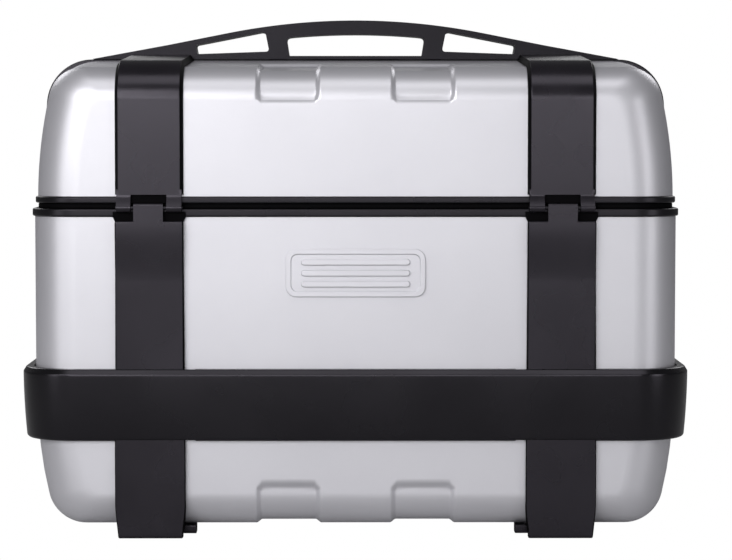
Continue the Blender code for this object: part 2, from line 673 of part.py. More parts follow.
def make_lock(lever_pivot, hook_pivot, barrel_pivot, button_pivot):
    """Lock housing with the key barrel, the release lever and the button, and the lid's latch."""
    rise = (SEAM_SHAPE["top"] - BACK_SHAPE["top"]) / (REAR_WALL_Y - SEAM_Y - REAR_RADIUS)
    floor = [SEAM_SHAPE["top"] - rise * (y - SEAM_Y) + GAP + 0.2 for y in HOUSING_Y]
    profile = [(HOUSING_Y[0], floor[0]), (HOUSING_Y[1], floor[1]), (HOUSING_Y[1], HOUSING_TOP - 3),
               (HOUSING_Y[1] - 3, HOUSING_TOP), (HOUSING_Y[0], HOUSING_TOP)]
    housing = add_node("lock_housing", prism([profile], "X", -HOUSING_X, HOUSING_X), "black")
    carve(housing, box((-18.4, HOUSING_Y[0] - 1, POCKET_Z), (18.4, LEVER_END + 3, HOUSING_TOP + 3)))
    carve(housing, rod("X", LEVER_AXIS, TRUNNION_RADIUS + GAP, -20.4, 20.4, 12))
    for x in (-LOCK_X, LOCK_X):
        carve(housing, rod("Z", (x, LOCK_Y), LOCK_RADIUS + 0.4, 360, 390))
    lever = arc(LEVER_AXIS, LEVER_RADIUS, 90, 270, 8)
    lever += [(LEVER_END, LEVER_AXIS[1] - LEVER_RADIUS), (LEVER_END + 2, LEVER_AXIS[1] + LEVER_RADIUS)]
    lever = add_node("release_lever", prism([lever], "X", -18, 18), "black", lever_pivot)
    carve(lever, rod("X", LEVER_AXIS, TRUNNION_RADIUS, -20, 20, 12), "UNION")
    barrel_z = (HOUSING_TOP - 6.2, HOUSING_TOP + 0.2)
    barrel = add_node("lock_barrel", rod("Z", (LOCK_X, LOCK_Y), LOCK_RADIUS, *barrel_z), "steel",
                      barrel_pivot)
    key_slot = box((LOCK_X - 0.7, LOCK_Y - 4, HOUSING_TOP - 2.3), (LOCK_X + 0.7, LOCK_Y + 4, HOUSING_TOP + 3))
    carve(barrel, key_slot)
    button = rod("Z", (-LOCK_X, LOCK_Y), LOCK_RADIUS, HOUSING_TOP - 4.2, HOUSING_TOP + 0.8)
    add_node("mount_release_button", button, "red", button_pivot)
    make_latch(hook_pivot)


def make_latch(hook_pivot):
    """Latch hook under the lock, turning on a pin in its bracket; heights are from its axis."""
    axis_y, axis_z = HOOK_AXIS
    bracket = [(-11.0, -6.0), (-11.0, 16.7), (11.0, 16.7), (11.0, -6.0), (8.6, -6.0), (8.6, 14.6),
               (-8.6, 14.6), (-8.6, -6.0)]
    bracket = [(x, axis_z + z) for x, z in bracket]
    bracket = add_node("latch_bracket", prism([bracket], "Y", axis_y - 7.5, axis_y + 8), "steel")
    carve(bracket, rod("X", HOOK_AXIS, PIN_RADIUS + GAP, -20, 20, 12))
    hook = [(-19.4, 8.5), (-19.4, 4.6), (-25.5, 4.2), (-25.5, 1.6), (-18.0, 0.6)]
    hook = [(axis_y + y, axis_z + z) for y, z in hook] + arc(HOOK_AXIS, 5.5, 200, 450, 8)
    hook.append((axis_y - 8, axis_z + 8.5))
    hook = add_node("latch_hook", prism([hook], "X", -6.0, 6.0), "steel", hook_pivot)
    carve(hook, rod("X", HOOK_AXIS, PIN_RADIUS + GAP, -20, 20, 12))
    add_node("latch_pin", rod("X", HOOK_AXIS, PIN_RADIUS, -13.5, 13.5, 12), "steel")


def make_side_catches(front, catch_pivots):
    """Inner levers at the sides, their pivots, and the keeper pegs on the front half."""
    for side, sign in (("left", -1), ("right", 1)):
        arm = [(-6.5, 226.2), (-3.5, 226.2), (-1.0, 229.0), (24.0, 225.0)]
        arm += [(30.0, 222.5), (47.0, 215.0), (50.0, 219.5), (35.0, 231.0), (28.0, 234.0), (-6.5, 233.5)]
        lever = add_node(f"side_catch_{side}", prism([arm], "X", *span(sign, *CATCH_X)), "black",
                         catch_pivots[side])
        carve(lever, rod("X", CATCH_AXIS, PIN_RADIUS + GAP, *span(sign, 230, 260), 12))
        pin = rod("X", CATCH_AXIS, PIN_RADIUS, *span(sign, 242.0, 250.3), 12)
        pin = add_node(f"catch_pivot_{side}", pin, "steel")
        carve(pin, rod("X", CATCH_AXIS, 4.0, *span(sign, 241.0, 243.0), 12), "UNION")
        keeper = rod("X", (KEEPER_Y, KEEPER_Z), 2.2, *span(sign, 241.5, 251.4), 12)
        add_node(f"catch_keeper_{side}", keeper, "steel", front)


def make_mounting(catch_pivot):
    """Mounting plate on the rear wall, its screws and the catch that holds the case to a rack."""
    outline = rounded_rectangle((-PLATE_HALF_WIDTH, PLATE_Z[0]), (PLATE_HALF_WIDTH, PLATE_Z[1]), 18, 4)
    holes = [rounded_rectangle((x - 22, SOCKET_Z[0]), (x + 22, SOCKET_Z[1]), 3, 2)
             for x in (-SOCKET_X, SOCKET_X)]
    holes.append(rounded_rectangle((-CATCH_WINDOW_X, CATCH_WINDOW_Z[0]),
                                   (CATCH_WINDOW_X, CATCH_WINDOW_Z[1]), 3, 2))
    screws = [(x, z) for z in (140.0, 300.0) for x in (-110.0, 110.0)]
    holes += [arc(centre, 5.4, 0, 337.5, 15) for centre in screws]
    add_node("mounting_plate", prism([outline] + holes, "Y", REAR_WALL_Y + GAP, BACK_Y), "black")
    for number, centre in enumerate(screws, 1):
        screw = rod("Y", centre, 5.0, REAR_WALL_Y + GAP, REAR_WALL_Y + 4.0)
        add_node(f"plate_screw_{number}", screw, "steel")
    catch = [(REAR_WALL_Y + 0.5, 291.0), (BACK_Y - 0.5, 297.0), (BACK_Y - 0.5, 301.0),
             (REAR_WALL_Y + 7, 303.0), (REAR_WALL_Y + 7, 314.0), (REAR_WALL_Y + 0.5, 314.0)]
    add_node("mount_catch", prism([catch], "X", -16, 16), "steel", catch_pivot)


def make_rear_feet():
    """Feet under the rear half, each with its rubber pad."""
    for name, sign in sides("rear_foot"):
        x_range = span(sign, *STRAP_X)
        foot = rounded_rectangle((x_range[0], REAR_FOOT_Y[0]), (x_range[1], REAR_FOOT_Y[1]), 4)
        add_node(name, prism([foot], "Z", FOOT_Z, BACK_SHAPE["bottom"] - GAP), "charcoal")
    for name, sign in sides("rear_foot_pad"):
        x_range = span(sign, *PAD_X)
        low = (x_range[0], REAR_FOOT_Y[0] + 4)
        high = (x_range[1], REAR_FOOT_Y[1] - 4)
        add_node(name, prism([rounded_rectangle(low, high, 5)], "Z", 0.0, PAD_HEIGHT), "rubber")


def build():
    """Clear the scene and make the whole case."""
    for old in list(bpy.data.objects):
        bpy.data.objects.remove(old, do_unlink=True)
    front = pivot("front_half_axis", (0.0, SEAM_Y, CLAMSHELL_Z))
    lid = pivot("lid_axis", (0.0, depth_y(KNUCKLE_DEPTH), KNUCKLE_Z), front)
    lever = pivot("release_lever_axis", (0.0, *LEVER_AXIS))
    hook = pivot("latch_hook_axis", (0.0, *HOOK_AXIS))
    barrel = pivot("lock_barrel_axis", (LOCK_X, LOCK_Y, HOUSING_TOP))
    button = pivot("mount_button_axis", (-LOCK_X, LOCK_Y, HOUSING_TOP))
    mount_catch = pivot("mount_catch_axis", (0.0, REAR_WALL_Y, 300.0))
    catches = {side: pivot(f"side_catch_{side}_axis", (sign * CATCH_X[0], *CATCH_AXIS))
               for side, sign in (("left", -1), ("right", 1))}
    make_rear_shell()
    make_rim()
    make_handle()
    make_lock(lever, hook, barrel, button)
    make_mounting(mount_catch)
    make_rear_feet()
    make_lower_shell(front)
    make_straps_and_feet(front)
    make_band(front)
    make_badge(front)
    make_clamshell_hinges(front)
    make_side_catches(front, catches)
    make_lid(lid)


build()
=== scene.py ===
"""Looks of the top case: shells, straps, band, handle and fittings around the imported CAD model."""
import json
import math

import bmesh
import bpy
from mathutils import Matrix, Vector
from mathutils.geometry import tessellate_polygon

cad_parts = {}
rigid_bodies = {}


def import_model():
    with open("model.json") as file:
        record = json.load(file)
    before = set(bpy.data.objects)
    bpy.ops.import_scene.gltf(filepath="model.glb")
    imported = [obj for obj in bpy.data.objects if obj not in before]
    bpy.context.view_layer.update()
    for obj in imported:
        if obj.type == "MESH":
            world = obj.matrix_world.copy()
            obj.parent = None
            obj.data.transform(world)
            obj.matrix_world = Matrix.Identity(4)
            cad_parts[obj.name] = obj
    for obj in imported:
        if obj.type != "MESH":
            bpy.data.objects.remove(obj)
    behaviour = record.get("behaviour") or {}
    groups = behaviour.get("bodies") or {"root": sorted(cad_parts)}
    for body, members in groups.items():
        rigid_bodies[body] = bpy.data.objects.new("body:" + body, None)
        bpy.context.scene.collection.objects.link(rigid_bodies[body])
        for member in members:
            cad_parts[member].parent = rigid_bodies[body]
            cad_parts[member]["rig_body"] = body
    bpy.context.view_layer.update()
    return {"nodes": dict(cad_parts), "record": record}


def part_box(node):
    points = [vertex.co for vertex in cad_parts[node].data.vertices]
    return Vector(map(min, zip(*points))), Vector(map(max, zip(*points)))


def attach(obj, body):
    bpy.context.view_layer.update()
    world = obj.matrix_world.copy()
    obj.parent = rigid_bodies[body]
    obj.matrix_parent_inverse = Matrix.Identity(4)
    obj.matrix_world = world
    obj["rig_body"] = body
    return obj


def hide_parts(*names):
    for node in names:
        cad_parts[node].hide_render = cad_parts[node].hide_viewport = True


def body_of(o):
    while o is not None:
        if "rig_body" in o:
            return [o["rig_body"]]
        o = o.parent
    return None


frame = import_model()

GAP = 0.0003

# Places read from the CAD model
LID_LOW, LID_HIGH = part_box("lid_shell")
LOWER_LOW, LOWER_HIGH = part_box("front_lower_shell")
REAR_LOW, REAR_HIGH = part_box("rear_shell")
RIM_LOW, RIM_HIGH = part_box("rear_rim_frame")
BAND_LOW, BAND_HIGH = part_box("bumper_band")
HANDLE_LOW, HANDLE_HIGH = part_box("carry_handle")
PLATE_LOW, PLATE_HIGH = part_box("mounting_plate")
STRAP_LOW, STRAP_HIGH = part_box("lid_strap_right")
STRAP_X = (STRAP_LOW.x, STRAP_HIGH.x)
LEG_X = ((STRAP_LOW.x + 0.0012, STRAP_LOW.x + 0.0128), (STRAP_HIGH.x - 0.0122, STRAP_HIGH.x - 0.0012))
# X span of the near-black sheet behind each lid strap's hinge notch, painted shade
SHADE_SHEET_X = (STRAP_LOW.x + 0.0120, STRAP_HIGH.x - 0.0114)
FOOT_LOW, FOOT_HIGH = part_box("front_lower_strap_right")
PIN_LOW, PIN_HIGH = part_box("lid_hinge_pin_right")
PAD_LOW, PAD_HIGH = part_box("front_foot_pad_right")
HINGE_AXIS = ((PIN_LOW.y + PIN_HIGH.y) / 2, (PIN_LOW.z + PIN_HIGH.z) / 2)

FRONT_Y = LOWER_LOW.y
SEAM_Y = LOWER_HIGH.y
SEAM_DEPTH = SEAM_Y - FRONT_Y
BOTTOM_Z = LOWER_LOW.z
MIDDLE_Z = 0.19
WALL = 0.0032

# Shape of the case's outline near its front wall, at the seam and at its back
SIDE_RADIUS = 0.036
EDGE_RADIUS = 0.026
FACE_CORNER = 0.009
TOP_TAPER_START = 0.264
BOTTOM_TAPER_START = 0.152
LID_STEP = 0.0025
FRONT_SHAPE = {"half_width": 0.2520, "top": 0.3669, "bottom": BOTTOM_Z, "top_radius": 0.0275,
               "bottom_radius": 0.029, "top_taper": 0.0080, "bottom_taper": 0.0082, "lid_step": LID_STEP}
SEAM_SHAPE = {"half_width": 0.2558, "top": LID_HIGH.z, "bottom": BOTTOM_Z, "top_radius": 0.0362,
              "bottom_radius": 0.038, "top_taper": 0.0035, "bottom_taper": 0.0020, "lid_step": 0.0}
FRONT_SEAM_SHAPE = {**SEAM_SHAPE, "top_radius": 0.0415}
REAR_RADIUS = 0.024
REAR_FACE_CORNER = 0.018
BACK_SHAPE = {"half_width": 0.250, "top": 0.3691, "bottom": BOTTOM_Z, "top_radius": 0.038,
              "bottom_radius": 0.038, "top_taper": 0.0, "bottom_taper": 0.0, "lid_step": 0.0}

RECESS_X = (0.0268, 0.0779)
RECESS_DEPTH = 0.0028
RECESS_WALL = 0.0048
RECESS_TOP_Z = 0.3375
RECESS_BOTTOM_Z = 0.0444
RECESS_END = 0.088
RECESS_CHAMFER = 0.005

# Rows of the front half: distances from its flat face to the seam, then steps from its rim to the middle
RECESS_ROWS = [RECESS_END - 0.0042 + 0.0006 * i for i in range(9)]
FAR_DEPTHS = [0.038, 0.042, 0.048, 0.056, 0.066, 0.076] + RECESS_ROWS + [0.093, 0.100, 0.108, SEAM_DEPTH]
FACE_STEPS = (0.006, 0.012, 0.018, 0.024, 0.030, 0.037, 0.045, 0.055, 0.068, 0.085, 0.12, 0.2, 0.4, 0.6, 0.8,
              1.0)

# Straps, their hinges and feet
STRAP_THICKNESS = 0.005
STRAP_LEAN = 0.0021
STRAP_LIP = 0.0013
STRAP_EDGE = 0.0009
STRAP_FACE_Y = FRONT_Y - 0.0053
KNUCKLE_RADIUS = 0.0035
NECK_Z = HINGE_AXIS[1] + 0.0078
LEG_TOP_Z = HINGE_AXIS[1] + 0.0142
NOTCH_Z = PIN_LOW.z + 0.0117
SHOULDER_Z = PIN_LOW.z - 0.0088
TONGUE_X = (0.1484, 0.1711)
TONGUE_TURN = 0.0016
# Near-black sheets that paint the shade behind the lid straps' hinge notches and below the hinges on the
# lower straps
SHADE_SHEET_Y = (FRONT_Y - 0.0031, FRONT_Y - 0.0021)
SHADE_SHEET_LOW_Z = 0.2612
SHADE_APRON_Z = (0.2466, 0.2503, 0.2545)
SHADE_APRON_FLARE = 0.0018
BULGE = 0.0024
BULGE_START_Z = 0.200
FOOT_Z = PAD_HIGH.z + 0.0003
LIP_Z = 0.0006
LIP_Y = PAD_LOW.y - 0.0005
TOE = 0.0025
LUG_Y = (FRONT_Y + 0.012, FRONT_Y + 0.028)
LUG_Z = (0.0018, 0.0085)

# Bumper band
BAND_HALF_WIDTH = 0.2620
BAND_RADIUS = 0.045
BAND_PLATE = 0.0040
BAND_LIP = 0.003
BAND_TURN = 0.003
BAND_LEAN = 0.0028
BAND_REACH = 0.0082

# Carry handle
HANDLE_BASE_Z = 0.3765
HANDLE_SHOULDER = (-0.154, 0.3879)
CROWN_HALF = 0.104
CROWN_DROP = 0.0102
GRIP_TOP_Z = 0.3968
GRIP_SAG = 0.0022

# Plaque and mounting plate
PLAQUE_RIM = 0.004
RIB_HALF = (0.042, 0.0023)
RIB_PITCH = 0.0085
PLATE_SOCKETS_X = (-0.085, 0.085)
POCKETS_X = ((-0.096, -0.051), (-0.047, -0.002), (0.002, 0.047), (0.051, 0.096))
POCKETS_Z = ((0.128, 0.186), (0.194, 0.272))
POCKET_DEPTH = 0.006

SURROUND_LIGHT = 0.13


# ---------------- materials

def new_material(name, colour, roughness, metallic=0.0):
    """Material with a Principled shader; returns it with its nodes, links and shader."""
    made = bpy.data.materials.new(name)
    made.use_nodes = True
    nodes = made.node_tree.nodes
    shader = nodes["Principled BSDF"]
    shader.inputs["Base Color"].default_value = (*colour, 1.0)
    shader.inputs["Roughness"].default_value = roughness
    shader.inputs["Metallic"].default_value = metallic
    return made, nodes, made.node_tree.links, shader


def add_noise(nodes, links, scale, detail=2.0, stretch=(1, 1, 1)):
    """Noise in object coordinates, whose scale is in cells per metre."""
    place = nodes.new("ShaderNodeTexCoord")
    mapping = nodes.new("ShaderNodeMapping")
    mapping.inputs["Scale"].default_value = stretch
    noise = nodes.new("ShaderNodeTexNoise")
    noise.inputs["Scale"].default_value = scale
    noise.inputs["Detail"].default_value = detail
    links.new(place.outputs["Object"], mapping.inputs["Vector"])
    links.new(mapping.outputs["Vector"], noise.inputs["Vector"])
    return noise


def spread(nodes, links, value, low, high):
    """Map Range node from the middle of a noise to low and high."""
    ranged = nodes.new("ShaderNodeMapRange")
    ranged.inputs["From Min"].default_value = 0.3
    ranged.inputs["From Max"].default_value = 0.7
    ranged.inputs["To Min"].default_value = low
    ranged.inputs["To Max"].default_value = high
    links.new(value, ranged.inputs["Value"])
    return ranged.outputs["Result"]


def add_bump(nodes, links, shader, height, strength, distance):
    """Bump from a height value."""
    bump = nodes.new("ShaderNodeBump")
    bump.inputs["Strength"].default_value = strength
    bump.inputs["Distance"].default_value = distance
    links.new(height, bump.inputs["Height"])
    links.new(bump.outputs["Normal"], shader.inputs["Normal"])


def tint(nodes, links, shader, factor, dark, light):
    """Base colour that drifts between a dark and a light tone."""
    mix = nodes.new("ShaderNodeMix")
    mix.data_type = "RGBA"
    mix.inputs["A"].default_value = (*dark, 1.0)
    mix.inputs["B"].default_value = (*light, 1.0)
    links.new(factor, mix.inputs["Factor"])
    links.new(mix.outputs["Result"], shader.inputs["Base Color"])


def silver_material():
    """Satin silver finish: fine metallic grain over a slow drift of tone."""
    made, nodes, links, shader = new_material("satin_silver", (0.635, 0.628, 0.67), 0.40, 0.62)
    drift = add_noise(nodes, links, 9.0, 3.0)
    grain = add_noise(nodes, links, 2600.0, 2.0)
    tint(nodes, links, shader, spread(nodes, links, drift.outputs["Fac"], 0.0, 1.0),
         (0.62, 0.613, 0.655), (0.65, 0.643, 0.685))
    links.new(spread(nodes, links, grain.outputs["Fac"], 0.39, 0.46), shader.inputs["Roughness"])
    add_bump(nodes, links, shader, grain.outputs["Fac"], 0.10, 0.0001)
    return made


def plastic_material(name, dark, light, roughness, grain_scale, grain_height, specular=0.32):
    """Moulded plastic with an eroded grain, rubbed a little smoother in places."""
    made, nodes, links, shader = new_material(name, dark, roughness)
    shader.inputs["Specular IOR Level"].default_value = specular
    shader.inputs["Specular Tint"].default_value = (0.92, 0.86, 1.0, 1.0)
    drift = add_noise(nodes, links, 14.0, 3.0)
    grain = add_noise(nodes, links, grain_scale, 2.0)
    tint(nodes, links, shader, spread(nodes, links, drift.outputs["Fac"], 0.0, 1.0), dark, light)
    links.new(spread(nodes, links, drift.outputs["Fac"], roughness - 0.04, roughness + 0.05),
              shader.inputs["Roughness"])
    add_bump(nodes, links, shader, grain.outputs["Fac"], 0.25, grain_height)
    return made


def steel_material():
    """Zinc-plated steel with fine drawn lines."""
    made, nodes, links, shader = new_material("plated_steel", (0.58, 0.58, 0.60), 0.3, 1.0)
    lines = add_noise(nodes, links, 300.0, 3.0, (1.0, 8.0, 8.0))
    links.new(spread(nodes, links, lines.outputs["Fac"], 0.24, 0.42), shader.inputs["Roughness"])
    add_bump(nodes, links, shader, lines.outputs["Fac"], 0.08, 0.0001)
    return made


SILVER = silver_material()
CHARCOAL = plastic_material(
    "charcoal_plastic", (0.0064, 0.0056, 0.0074), (0.0092, 0.0082, 0.0106), 0.27, 1700.0, 0.00010, 0.46)
BLACK = plastic_material(
    "black_plastic", (0.004, 0.004, 0.0044), (0.0062, 0.0062, 0.0068), 0.29, 1500.0, 0.00010)
SHELL_BLACK = plastic_material(
    "rear_shell_plastic", (0.020, 0.020, 0.022), (0.028, 0.028, 0.031), 0.52, 700.0, 0.00030)
LINER = plastic_material(
    "liner_plastic", (0.035, 0.035, 0.037), (0.045, 0.045, 0.048), 0.62, 500.0, 0.00030)
RUBBER = plastic_material(
    "rubber", (0.010, 0.010, 0.010), (0.016, 0.016, 0.016), 0.78, 900.0, 0.00020)
STEEL = steel_material()
# Near-black, almost unglossy material that paints shade: on the straps' sides, in the hinge notches, on the
# sheets under the hinges and on the lid seal
SHADE_BLACK = plastic_material(
    "painted_shade_black", (0.0008, 0.0008, 0.0009), (0.0012, 0.0012, 0.0013), 0.70, 900.0, 0.00010, 0.06)
HANDLE_BLACK = plastic_material(
    "handle_plastic", (0.0036, 0.0036, 0.0041), (0.0050, 0.0050, 0.0056), 0.33, 1500.0, 0.00008, 0.20)
BAND_BLACK = plastic_material(
    "band_plastic", (0.0024, 0.0024, 0.0027), (0.0034, 0.0034, 0.0038), 0.25, 1500.0, 0.00008, 0.40)
RED = plastic_material(
    "red_plastic", (0.36, 0.012, 0.012), (0.42, 0.018, 0.016), 0.32, 1500.0, 0.00008)


# ---------------- mesh helpers

# World point of (u, v) on the other two axes and w along the named one
ALONG = {"X": lambda u, v, w: (w, u, v), "Y": lambda u, v, w: (u, w, v), "Z": lambda u, v, w: (u, v, w)}


def arc(centre, radius, start, end, steps):
    """Points on an arc, its angles in degrees from the first axis towards the second."""
    angles = [math.radians(start + (end - start) * i / steps) for i in range(steps + 1)]
    return [(centre[0] + radius * math.cos(a), centre[1] + radius * math.sin(a)) for a in angles]


def mirrored(points):
    """The same points on the other side of X = 0, in reverse order."""
    return [(-x, other) for x, other in reversed(points)]


def rounded_rectangle(low, high, radius, steps=6):
    """Outline of a rectangle with round corners."""
    corners = [((high[0] - radius, high[1] - radius), 0), ((low[0] + radius, high[1] - radius), 90),
               ((low[0] + radius, low[1] + radius), 180), ((high[0] - radius, low[1] + radius), 270)]
    return [point for centre, turn in corners for point in arc(centre, radius, turn, turn + 90, steps)]


def rounded_path(points, radii, steps=6):
    """Closed outline through corner points, each rounded with its own radius."""
    outline = []
    for i, (x, y) in enumerate(points):
        corner = Vector((x, y))
        before = Vector(points[i - 1]) - corner
        after = Vector(points[(i + 1) % len(points)]) - corner
        half = before.angle(after) / 2
        reach = min(radii[i] / math.tan(half), 0.49 * before.length, 0.49 * after.length)
        if reach < 1e-6 or half > math.radians(88):
            outline.append((x, y))
            continue
        start = corner + before.normalized() * reach
        end = corner + after.normalized() * reach
        for k in range(steps + 1):
            t = k / steps
            point = start.lerp(corner, t).lerp(corner.lerp(end, t), t)
            outline.append((point.x, point.y))
    return outline


def prism(loops, axis, low, high):
    """Closed solid with a flat outline, and holes after it, pushed along one axis."""
    place = ALONG[axis]
    bm = bmesh.new()
    ends = [[[bm.verts.new(place(*point, w)) for point in loop] for loop in loops] for w in (low, high)]
    for loop_low, loop_high in zip(*ends):
        for i in range(len(loop_low)):
            bm.faces.new((loop_low[i - 1], loop_low[i], loop_high[i], loop_high[i - 1]))
    for end in ends:
        if len(loops) == 1:
            bm.faces.new(end[0])
            continue
        flat = [vert for loop in end for vert in loop]
        for triangle in tessellate_polygon([[Vector((u, v, 0)) for u, v in loop] for loop in loops]):
            bm.faces.new([flat[i] for i in triangle])
    bmesh.ops.recalc_face_normals(bm, faces=bm.faces)
    return bm


def box(low, high):
    """Closed box between two corners."""
    outline = [(low[0], low[1]), (high[0], low[1]), (high[0], high[1]), (low[0], high[1])]
    return prism([outline], "Z", low[2], high[2])


def circle(centre, radius, sides=48):
    """Outline of a round hole or rod."""
    return arc(centre, radius, 0, 360 * (sides - 1) / sides, sides - 1)


def turned(axis, centre, profile, sides=48):
    """Closed solid turned about an axis; the profile is (radius, position) from end to end."""
    place = ALONG[axis]
    bm = bmesh.new()
    rings = []
    for radius, position in profile:
        rings.append([bm.verts.new(place(u, v, position)) for u, v in circle(centre, radius, sides)])
    for ring, following in zip(rings, rings[1:]):
        for i in range(sides):
            bm.faces.new((ring[i - 1], ring[i], following[i], following[i - 1]))
    bm.faces.new(rings[0])
    bm.faces.new(rings[-1])
    bmesh.ops.recalc_face_normals(bm, faces=bm.faces)
    return bm


def grid(rows, closed=False):
    """Surface through rows of points with the same count."""
    bm = bmesh.new()
    verts = [[bm.verts.new(point) for point in row] for row in rows]
    for row, following in zip(verts, verts[1:]):
        for i in range(0 if closed else 1, len(row)):
            bm.faces.new((row[i - 1], row[i], following[i], following[i - 1]))
    return bm


def sweep(sections, closed_path=False):
    """Closed solid through sections of 3-D points; its ends are capped."""
    bm = grid(sections + sections[:1] if closed_path else sections, closed=True)
    if closed_path:
        bmesh.ops.remove_doubles(bm, verts=bm.verts, dist=1e-7)
    else:
        count = len(sections[0])
        bm.verts.ensure_lookup_table()
        bm.faces.new(bm.verts[:count])
        bm.faces.new(bm.verts[-count:])
    bmesh.ops.recalc_face_normals(bm, faces=bm.faces)
    return bm


def raw_object(name, bm):
    """Object with a mesh given in world metres."""
    mesh = bpy.data.meshes.new(name)
    bm.to_mesh(mesh)
    bm.free()
    made = bpy.data.objects.new(name, mesh)
    bpy.context.scene.collection.objects.link(made)
    return made


def bake(made):
    """Replace an object's mesh by what its modifiers make of it."""
    graph = bpy.context.evaluated_depsgraph_get()
    result = bpy.data.meshes.new_from_object(made.evaluated_get(graph), preserve_all_data_layers=True,
                                             depsgraph=graph)
    made.modifiers.clear()
    made.data = result


def carve(made, bm, operation="DIFFERENCE"):
    """Cut a solid out of a piece, or add it, at once."""
    tool = raw_object("tool", bm)
    change = made.modifiers.new("carve", "BOOLEAN")
    change.operation = operation
    change.solver = "EXACT"
    change.object = tool
    bpy.context.view_layer.update()
    bake(made)
    bpy.data.objects.remove(tool, do_unlink=True)


def smooth_faces(made, angle):
    """Shade a piece smooth up to an angle, with its large faces kept flat beside rounded edges."""
    made.data.shade_smooth()
    made.data.set_sharp_from_angle(angle=math.radians(angle))
    weighted = made.modifiers.new("normals", "WEIGHTED_NORMAL")
    weighted.mode = "FACE_AREA"
    weighted.keep_sharp = True
    bpy.context.view_layer.update()
    bake(made)


def round_edges(made, width, segments=3, angle=40):
    """Round the edges of a piece that are sharper than an angle."""
    rounding = made.modifiers.new("edges", "BEVEL")
    rounding.width = width
    rounding.segments = segments
    rounding.limit_method = "ANGLE"
    rounding.angle_limit = math.radians(angle)
    bpy.context.view_layer.update()
    bake(made)


def repaint(made, material, chosen):
    """Give the faces that pass a test another material."""
    made.data.materials.append(material)
    for face in made.data.polygons:
        if chosen(face):
            face.material_index = len(made.data.materials) - 1


def paint_inside(made, low, high, material):
    """Give the faces between two corners another material."""
    repaint(made, material, lambda face: all(low[i] <= face.center[i] <= high[i] for i in range(3)))


def paint_sides(made, steepness, material):
    """Give the faces that look to the left or right another material."""
    repaint(made, material, lambda face: abs(face.normal.x) > steepness)


def fasten(made, body, slot, nodes):
    """Fasten a piece to its body, in place of its CAD nodes."""
    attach(made, body)
    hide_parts(*nodes)


def finish_piece(made, material, body, slot, nodes, bevel=0.0, segments=3, angle=40):
    """Round a piece's edges, shade it, give it its material and fasten it."""
    if bevel:
        round_edges(made, bevel, segments, angle)
    made.data.materials.clear()
    made.data.materials.append(material)
    smooth_faces(made, 35)
    fasten(made, body, slot, nodes)


def sides(name):
    """The two sides of the case, as a name with its side and a sign for X."""
    return [(f"{name}_left", -1), (f"{name}_right", 1)]


def numbered(name):
    """Names of the four screws of one kind."""
    return [f"{name}_{i}" for i in range(1, 5)]


def span(sign, low, high):
    """An X range on one side of the case, lowest first."""
    return tuple(sorted((sign * low, sign * high)))


def box_and_centre(name, first, second):
    """Lowest and highest corner of a CAD node, and its centre across two axes."""
    low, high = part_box(name)
    return low, high, ((low[first] + high[first]) / 2, (low[second] + high[second]) / 2)


def ease(value):
    """Smooth step from 0 to 1."""
    value = min(1.0, max(0.0, value))
    return value * value * (3 - 2 * value)


# ---------------- case shells

def edge_inset(depth, radius):
    """How far a rounded edge pulls the outline in at a distance from the flat wall."""
    if depth >= radius:
        return 0.0
    return radius - math.sqrt(max(0.0, radius ** 2 - (radius - depth) ** 2))


def shell_section(wall_shape, seam_shape, depth, side_radius, edge_radius, face_corner, seam_distance):
    """Shape of a shell half at a distance from its flat wall, between that wall and the seam."""
    blend = max(0.0, (depth - side_radius) / (seam_distance - side_radius))
    shape = {key: wall_shape[key] + (seam_shape[key] - wall_shape[key]) * blend for key in wall_shape}
    side = edge_inset(depth, side_radius)
    edge = edge_inset(depth, edge_radius)
    shape["half_width"] -= side
    shape["top"] -= edge
    shape["bottom"] += edge
    for key in ("top_radius", "bottom_radius"):
        shape[key] -= (shape[key] - face_corner) * edge / edge_radius
    return shape


def corner_data(shape, upper):
    """Half-width function, corner centre, corner tilt in degrees and side end of an outline."""
    upper_end = shape["top"] - shape["top_radius"]
    lower_end = shape["bottom"] + shape["bottom_radius"]

    def half_width(z):
        above = max(0.0, (z - TOP_TAPER_START) / (upper_end - TOP_TAPER_START))
        below = max(0.0, (BOTTOM_TAPER_START - z) / (BOTTOM_TAPER_START - lower_end))
        step = min(1.0, max(0.0, (z - LOWER_HIGH.z) / (LID_LOW.z - LOWER_HIGH.z)))
        lean = shape["top_taper"] * above ** 2 + shape["bottom_taper"] * below ** 3
        return shape["half_width"] - lean - shape["lid_step"] * step

    if upper:
        tilt = math.atan2(2 * shape["top_taper"], upper_end - TOP_TAPER_START)
        radius, end = shape["top_radius"], upper_end
        side_end = end + radius * math.sin(tilt)
    else:
        tilt = math.atan2(3 * shape["bottom_taper"], BOTTOM_TAPER_START - lower_end)
        radius, end = shape["bottom_radius"], lower_end
        side_end = end - radius * math.sin(tilt)
    centre = (half_width(side_end) - radius * math.cos(tilt), end)
    return half_width, centre, radius, math.degrees(tilt), side_end


def top_samples(limit):
    """X places along a straight top or bottom edge, close together at the recess walls."""
    places = {0.0, 0.010, 0.020, 0.034, 0.042, 0.0525, 0.063, 0.071, 0.088, 0.100, 0.115, 0.130, 0.145,
              0.160, 0.175, limit}
    for edge, inward in ((RECESS_X[0], 1), (RECESS_X[1], -1)):
        places |= {round(edge + inward * step * 0.0004, 5) for step in range(-3, 13)}
    half = sorted(places)
    return [-x for x in reversed(half[1:])] + half


